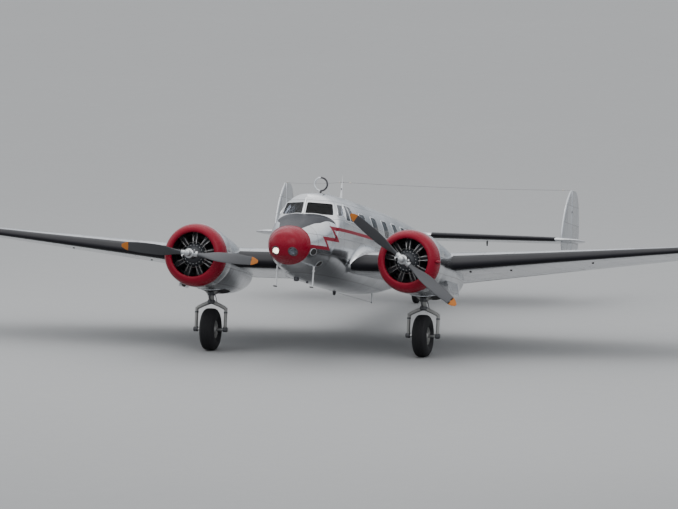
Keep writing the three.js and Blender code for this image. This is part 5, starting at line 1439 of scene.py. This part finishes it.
def seats(frame_name, pad_name, x, y, z, slot, stands_for=()):
    """Two seats, their pans' middles at (x, y, z) and (-x, y, z): each a bucket on legs, and its two cushions."""
    lean, face, hip = np.array([0, 0.26, 0.966]), np.array([0, -0.966, 0.26]), np.array([0, y + 0.205, z + 0.030])
    across = 0.205 * (1 - 0.22 * np.linspace(0, 1, 10)[:, None] ** 3) * np.linspace(-1, 1, 9)
    back = hip + spread(across, 0, 0) + lean * (0.560 * np.linspace(0, 1, 10))[:, None, None]
    back[..., 1] -= 0.018 * np.linspace(-1, 1, 9) ** 2
    frame = [block((-0.205, y - 0.215, z), (0.205, y + 0.215, z + 0.012)), layered(back, back + [0, 0.010, 0])]
    for s in (-1, 1):
        stile = [(0.205, -0.02, 0), (0.205, 0.02, 0.30), (0.150, 0, 0.56)]
        stile = [hip + [s * dx, 0, dz] + lean * up for dx, dz, up in stile]
        arm = [(0.222, -0.160, 0), (0.226, -0.165, 0.190), (0.226, -0.100, 0.215), (0.222, 0.240, 0.215)]
        arm = [(s * dx, y + dy, z + dz) for dx, dy, dz in arm]
        frame += [tube(curve(stile, 10), 0.011, 10), tube(curve(arm, 14), 0.012, 10)]
        for leg_y in (y - 0.180, y + 0.180):
            if carpet_z(leg_y) < z - 0.02:
                frame.append(pole(s * 0.170, leg_y, (carpet_z(leg_y), z + 0.004), 0.014, 10))
    pair(frame_name, frame, "airframe", slot, SEAT_METAL, stands_for, apart=x)
    for which, shapes in (
        ("seat", pillow((0, y - 0.010, z + 0.040), (0.196, 0.212, 0.075), (0, 1, 0), (0, 0, 1), (-0.5, 0, 0.5))),
        ("back", pillow(hip + lean * 0.315 + face * 0.034, (0.180, 0.235, 0.060), lean, face, (-0.6, -0.2, 0.2, 0.6))),
    ):
        for pad in pair(f"{pad_name}_{which}_cushion", shapes, "airframe", "leather", LEATHER, apart=x, crease=70):
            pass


seats("pilot_seat_frame_{}", "pilot_{}", 0.300, 2.350, 0.255, "leather", ["seat_{}"])
for number, y in enumerate((3.400, 4.270, 5.120, 5.970, 6.780)):
    z = max(0.300, carpet_z(y) + 0.030)
    seats(f"cabin_seat_frame_{number}_{{}}", f"cabin_{number}_{{}}", 0.370, y, z, None)

# Flight deck. A black panel of round dials under the windscreen, two half-wheel yokes on columns, and a
# pedestal of levers between the two seats.
PANEL_PAINT = painted("panel_black_crinkle", (0.022, 0.022, 0.024), 0.55, mottle=0.2, grain=400, relief=0.0006)
DIAL_FACE = painted("dial_face_black", (0.008, 0.008, 0.009), 0.25, relief=0.0, clear=0.6)
NEEDLE = painted("needle_cream_paint", (0.75, 0.70, 0.55), 0.4, relief=0.0)
YOKE_X, NEEDLE_Y = 0.300, 1.7885


def on_panel(flat, lift):
    """Points (x, z) put on the instrument panel's face, and lifted aft."""
    return spread(flat[..., 0], 1.785 + lift, flat[..., 1])


outline = [(-0.520, 0.430), (0.520, 0.430), (0.520, 0.700), (0.300, 0.798), (-0.300, 0.798), (-0.520, 0.700)]
outline = rounded(outline, 0.05)
board = [plate(outline, on_panel, 0.0, 0.020), rim(outline, on_panel, 0.004, 0.004, 0.010, mark=1)]
dials = [(s * YOKE_X + dx, z, 0.040) for s in (-1, 1) for dx in (-0.100, 0.0, 0.100) for z in (0.665, 0.565)]
dials += [(x, z, 0.026) for x in (-0.085, 0.0, 0.085) for z in (0.730, 0.660, 0.590)]
dials += [(s * YOKE_X + dx, 0.485, 0.022) for s in (-1, 1) for dx in (-0.085, 0.0, 0.085)]
for k, (x, z, r) in enumerate(dials):
    face, way = circle((x, z), r, 24), 0.9 + 1.7 * k
    tip = (x + 0.75 * r * math.cos(way), NEEDLE_Y, z + 0.75 * r * math.sin(way))
    board += [
        plate(face, on_panel, 0.002, 0.004, mark=2, rings=3), rim(face, on_panel, 0.005, 0.006, 0.008, mark=1),
        tube([(x, NEEDLE_Y, z), tip], [0.0018, 0.0008], 6, 3),
    ]
piece(
    "instrument_board", board, "airframe", "black_panel", [PANEL_PAINT, FRAME_METAL, DIAL_FACE, NEEDLE],
    ["instrument_panel"],
)
turn = np.radians(np.linspace(-200, 20, 26))
station = [
    tube(spread(0.135 * np.cos(turn), 2.020, 0.440 + 0.135 * np.sin(turn)), 0.012, 12),
    bar((-0.125, 0.125), 2.020, 0.420, 0.010, 10), tube([(0, 1.795, 0.400), (0, 2.015, 0.425)], 0.018, 14, 1),
    tube([(0, 2.010, 0.424), (0, 2.034, 0.426)], 0.034, 20),
    *[tube([(x, 1.760, 0.020), (x, 1.735, 0.110)], 0.010, 10, 1) for x in (-0.080, 0.080)],
    *[block((x, 1.722, 0.090), (x + 0.085, 1.742, 0.170), 1) for x in (-0.125, 0.040)],
    *[tube([(x, 1.760, 0.022), (x, 1.800, -0.055)], 0.010, 10, 1) for x in (-0.080, 0.080)],
]
controls = [moved(shape, (x, 0, 0)) for x in (YOKE_X, -YOKE_X) for shape in station]
controls.append(block((-0.085, 1.790, FLOOR_Z), (0.085, 1.930, 0.420)))
for k, x in enumerate((-0.060, -0.036, -0.012, 0.012, 0.036, 0.060)):
    y = 1.885 + 0.004 * k
    controls += [
        tube([(x, 1.870, 0.415), (x, y, 0.500)], 0.004, 8, 1),
        tube([(x, y - 0.001, 0.494), (x, y + 0.001, 0.516)], [0.011, 0.009], 10, 2 if k > 3 else 0),
    ]
piece("cockpit_controls", controls, "airframe", None, [PANEL_PAINT, FRAME_METAL, STRIPE_RED], crease=40)

# Nacelle fittings. A small scoop stands on each nacelle and a blister on the cowl's left, an exhaust stub of
# sooty steel curves out below the gills, and a dark sheet with a pressed edge, painted shade for the open wheel
# bay, lies round the gear's struts. The mouths of the scoop and of the stub are dark discs of painted shade.
SOOT = painted("sooty_exhaust_steel", (0.050, 0.042, 0.038), 0.6, metal=0.6, mottle=0.3)
x, z = NACELLE_X + 0.548 * math.cos(math.radians(18)), 0.548 * math.sin(math.radians(18))
scoop = [
    tube([(x - 0.020, 2.140, z), (x + 0.004, 2.070, z), (x + 0.016, 1.990, z)], [0.018, 0.028, 0.032]),
    tube([(x + 0.016, 2.004, z), (x + 0.016, 1.986, z)], 0.034, 20),
    # A dark disc in the scoop's mouth: painted shade for the hollow inside it.
    tube([(x + 0.016, 1.990, z), (x + 0.016, 1.9855, z)], 0.027, 20, 1),
]
pair("nacelle_scoop_{}", scoop, "airframe", "polished", [NACELLE_SHEETS, OPENING_SHADE], crease=40)
blister = [(0.580, 1.250), (0.596, 1.300), (0.604, 1.370), (0.606, 1.440), (0.600, 1.500)]
blister = tube([(x, y, -0.005) for x, y in blister], [0.004, 0.030, 0.036, 0.030, 0.004], 20)
pair("cowl_blister_{}", [blister], "airframe", "red_paint", RED, apart=NACELLE_X, crease=50)
along, across = np.linspace(-1, 1, 41)[:, None], np.linspace(-1, 1, 25)[None]
half, _, wide, bottom, _, lower = np.moveaxis(faired(NACELLE, 2.930 + 0.400 * along[:, 0]), -1, 0)[:, :, None]
turn = math.radians(27) * (1 - 0.98 * along**4) ** 0.5 * across - np.pi / 2
c, s = np.cos(turn), np.sin(turn)
out, down = np.sign(c) * np.abs(c) ** (2 / lower), np.abs(s) ** (2 / lower)
bay = spread(half * out, 2.930 + 0.400 * along, wide - (wide - bottom) * down)
border = np.concatenate([bay[:, 0], bay[-1, 1:-1], bay[::-1, -1], bay[0, -2::-1]])
# The bay is a thin dark skin on the nacelle: painted shade where the open bay would be. Its pressed edge is polished
# sheet.
bay_shade = [layered(bay + [0, 0, 0.006], bay - [0, 0, 0.003]), tube(border - [0, 0, 0.002], 0.007, 8, 1)]
pair("wheel_bay_{}", bay_shade, "airframe", "black_panel", [OPENING_SHADE, NACELLE_SHEETS], apart=NACELLE_X, crease=50)
lean = math.radians(36)
pipe = curve([
    (NACELLE_X + math.sin(lean) * r, y, -math.cos(lean) * r)
    for r, y in ((0.500, 1.900), (0.560, 1.930), (0.620, 1.985), (0.655, 2.060), (0.668, 2.140))
], 14)
# A dark disc closes the stub's end: painted shade for the pipe's bore.
exhaust = [tube(pipe, 0.040, 20), tube([pipe[-1], pipe[-1] + [0, 0.003, 0]], 0.034, 20, 1)]
pair("exhaust_stub_{}", exhaust, "airframe", "engine_iron", [SOOT, OPENING_SHADE], crease=40)

# Under the wings and the tail. Drain fittings, the tailplane's mass balances, and lights at the wing tips and
# on the tail, of clear, red and green glass.
DRAIN_DARK = painted("drain_dark_metal", (0.030, 0.030, 0.032), 0.5, metal=0.4)
RED_GLASS = painted("port_light_red", (0.45, 0.01, 0.01), 0.08, relief=0.0, clear=1.0)
GREEN_GLASS = painted("starboard_light_green", (0.01, 0.30, 0.08), 0.08, relief=0.0, clear=1.0)
small = []
for side in (1, -1):
    for x, along in ((2.92, 0.15), (3.60, 0.30), (5.20, 0.28)):
        at = wing_point(side * x, along, section(np.array(along), False))
        small.append(pole(at[0], at[1], [at[2] + h for h in (0.010, -0.012, -0.018)], [0.024, 0.022, 0.014]))
    small.append(tube([(side * 1.33, 10.700, 0.985), (side * 1.33, 10.715, 0.905)], [0.018, 0.012], 12))
piece("drain_fittings", small, "airframe", "gear_steel", DRAIN_DARK, crease=40)
for word, side, glass_paint in (("left", 1, RED_GLASS), ("right", -1, GREEN_GLASS)):
    steps = np.array([(-0.05, 0.03, 0), (-0.01, 0, 0.004), (0.010, -0.020, 0.006), (0.018, -0.034, 0.006)])
    light = tube(wing_point(side * 8.30, 0.06, 0.035) + steps * [side, 1, 1], [0.012, 0.024, 0.021, 0.004])
    piece(f"tip_light_{word}", [light], "airframe", None, glass_paint, crease=60)
light = tube([(0, 11.430, 0.852), (0, 11.455, 0.852), (0, 11.474, 0.852)], [0.020, 0.019, 0.006])
piece("tail_light", [light], "airframe", None, mirror_metal, crease=60)

# Stand: a plain pale studio floor, soft lamps overhead and at the sides, and the photograph's long lens.
floor_mesh = bpy.data.meshes.new("studio_floor")
floor_mesh.from_pydata([(-600, -600, 0), (600, -600, 0), (600, 600, 0), (-600, 600, 0)], [], [(0, 1, 2, 3)])
studio_floor = put("studio_floor", floor_mesh)
floor_mesh.materials.append(painted("pale_floor", (0.27, 0.275, 0.28), 0.85, grain=3, mottle=0.02, relief=0.0))

sky = bpy.data.worlds.new("studio_air")
sky.use_nodes = True
nodes, links = sky.node_tree.nodes, sky.node_tree.links
way, height, ramp = [nodes.new("ShaderNode" + kind) for kind in ("TexCoord", "SeparateXYZ", "ValToRGB")]
stops = ramp.color_ramp.elements
stops[0].position, stops[0].color = 0.0, (0.28, 0.31, 0.34, 1)
stops[1].position, stops[1].color = 0.80, (1.75, 1.75, 1.75, 1)
for place, shade in ((0.035, (0.30, 0.34, 0.38, 1)), (0.10, (0.88, 0.92, 0.98, 1))):
    stops.new(place).color = shade
links.new(way.outputs["Generated"], height.inputs["Vector"])
links.new(height.outputs["Z"], ramp.inputs["Fac"])
links.new(ramp.outputs["Color"], nodes["Background"].inputs["Color"])
nodes["Background"].inputs["Strength"].default_value = 1.0
bpy.context.scene.world = sky
for name, place, aim, size, power in (
    ("overhead_lamp", (-2, -2, 15), (0, 0, 1), 14, 1100),
    ("front_lamp", (10, -17, 13), (0, -2, 1.5), 9, 650),
    ("side_lamp", (-16, -8, 9), (0, 0, 1.5), 8, 300),
):
    lamp = bpy.data.lights.new(name, "AREA")
    lamp.size, lamp.energy = size, power
    holder = put(name, lamp)
    holder.location = place
    holder.rotation_mode = "QUATERNION"
    holder.rotation_quaternion = (Vector(aim) - Vector(place)).to_track_quat("-Z", "Y")

YAW, RISE, ROLL = math.radians(14.68), math.radians(3.332), math.radians(2.563)
AIM, AWAY, LENS_PER_METRE = (0.3252, 3.0, 0.1837), 275.0, 2.7479  # the lens in mm for each metre of distance
facing = np.array([math.sin(YAW) * math.cos(RISE), -math.cos(YAW) * math.cos(RISE), -math.sin(RISE)])
right = np.array([math.cos(YAW), math.sin(YAW), 0.0])
above = np.cross(facing, right)
level_axes = np.array([
    right * math.cos(ROLL) + above * math.sin(ROLL), above * math.cos(ROLL) - right * math.sin(ROLL), facing,
])
parked_axes = level_axes @ np.array([[1, 0, 0], [0, AFT[1], AFT[2]], [0, UP[1], UP[2]]])
view = np.eye(4)
view[:3, :3] = parked_axes.T
view[:3, 3] = stand(AIM) + parked_axes[2] * AWAY
lens = bpy.data.cameras.new("long_lens")
lens.sensor_width, lens.lens, lens.clip_start, lens.clip_end = 36.0, LENS_PER_METRE * AWAY, 10.0, 2000.0
camera = put("long_lens", lens)
camera.matrix_world = Matrix(view.tolist())
bpy.context.scene.camera = camera
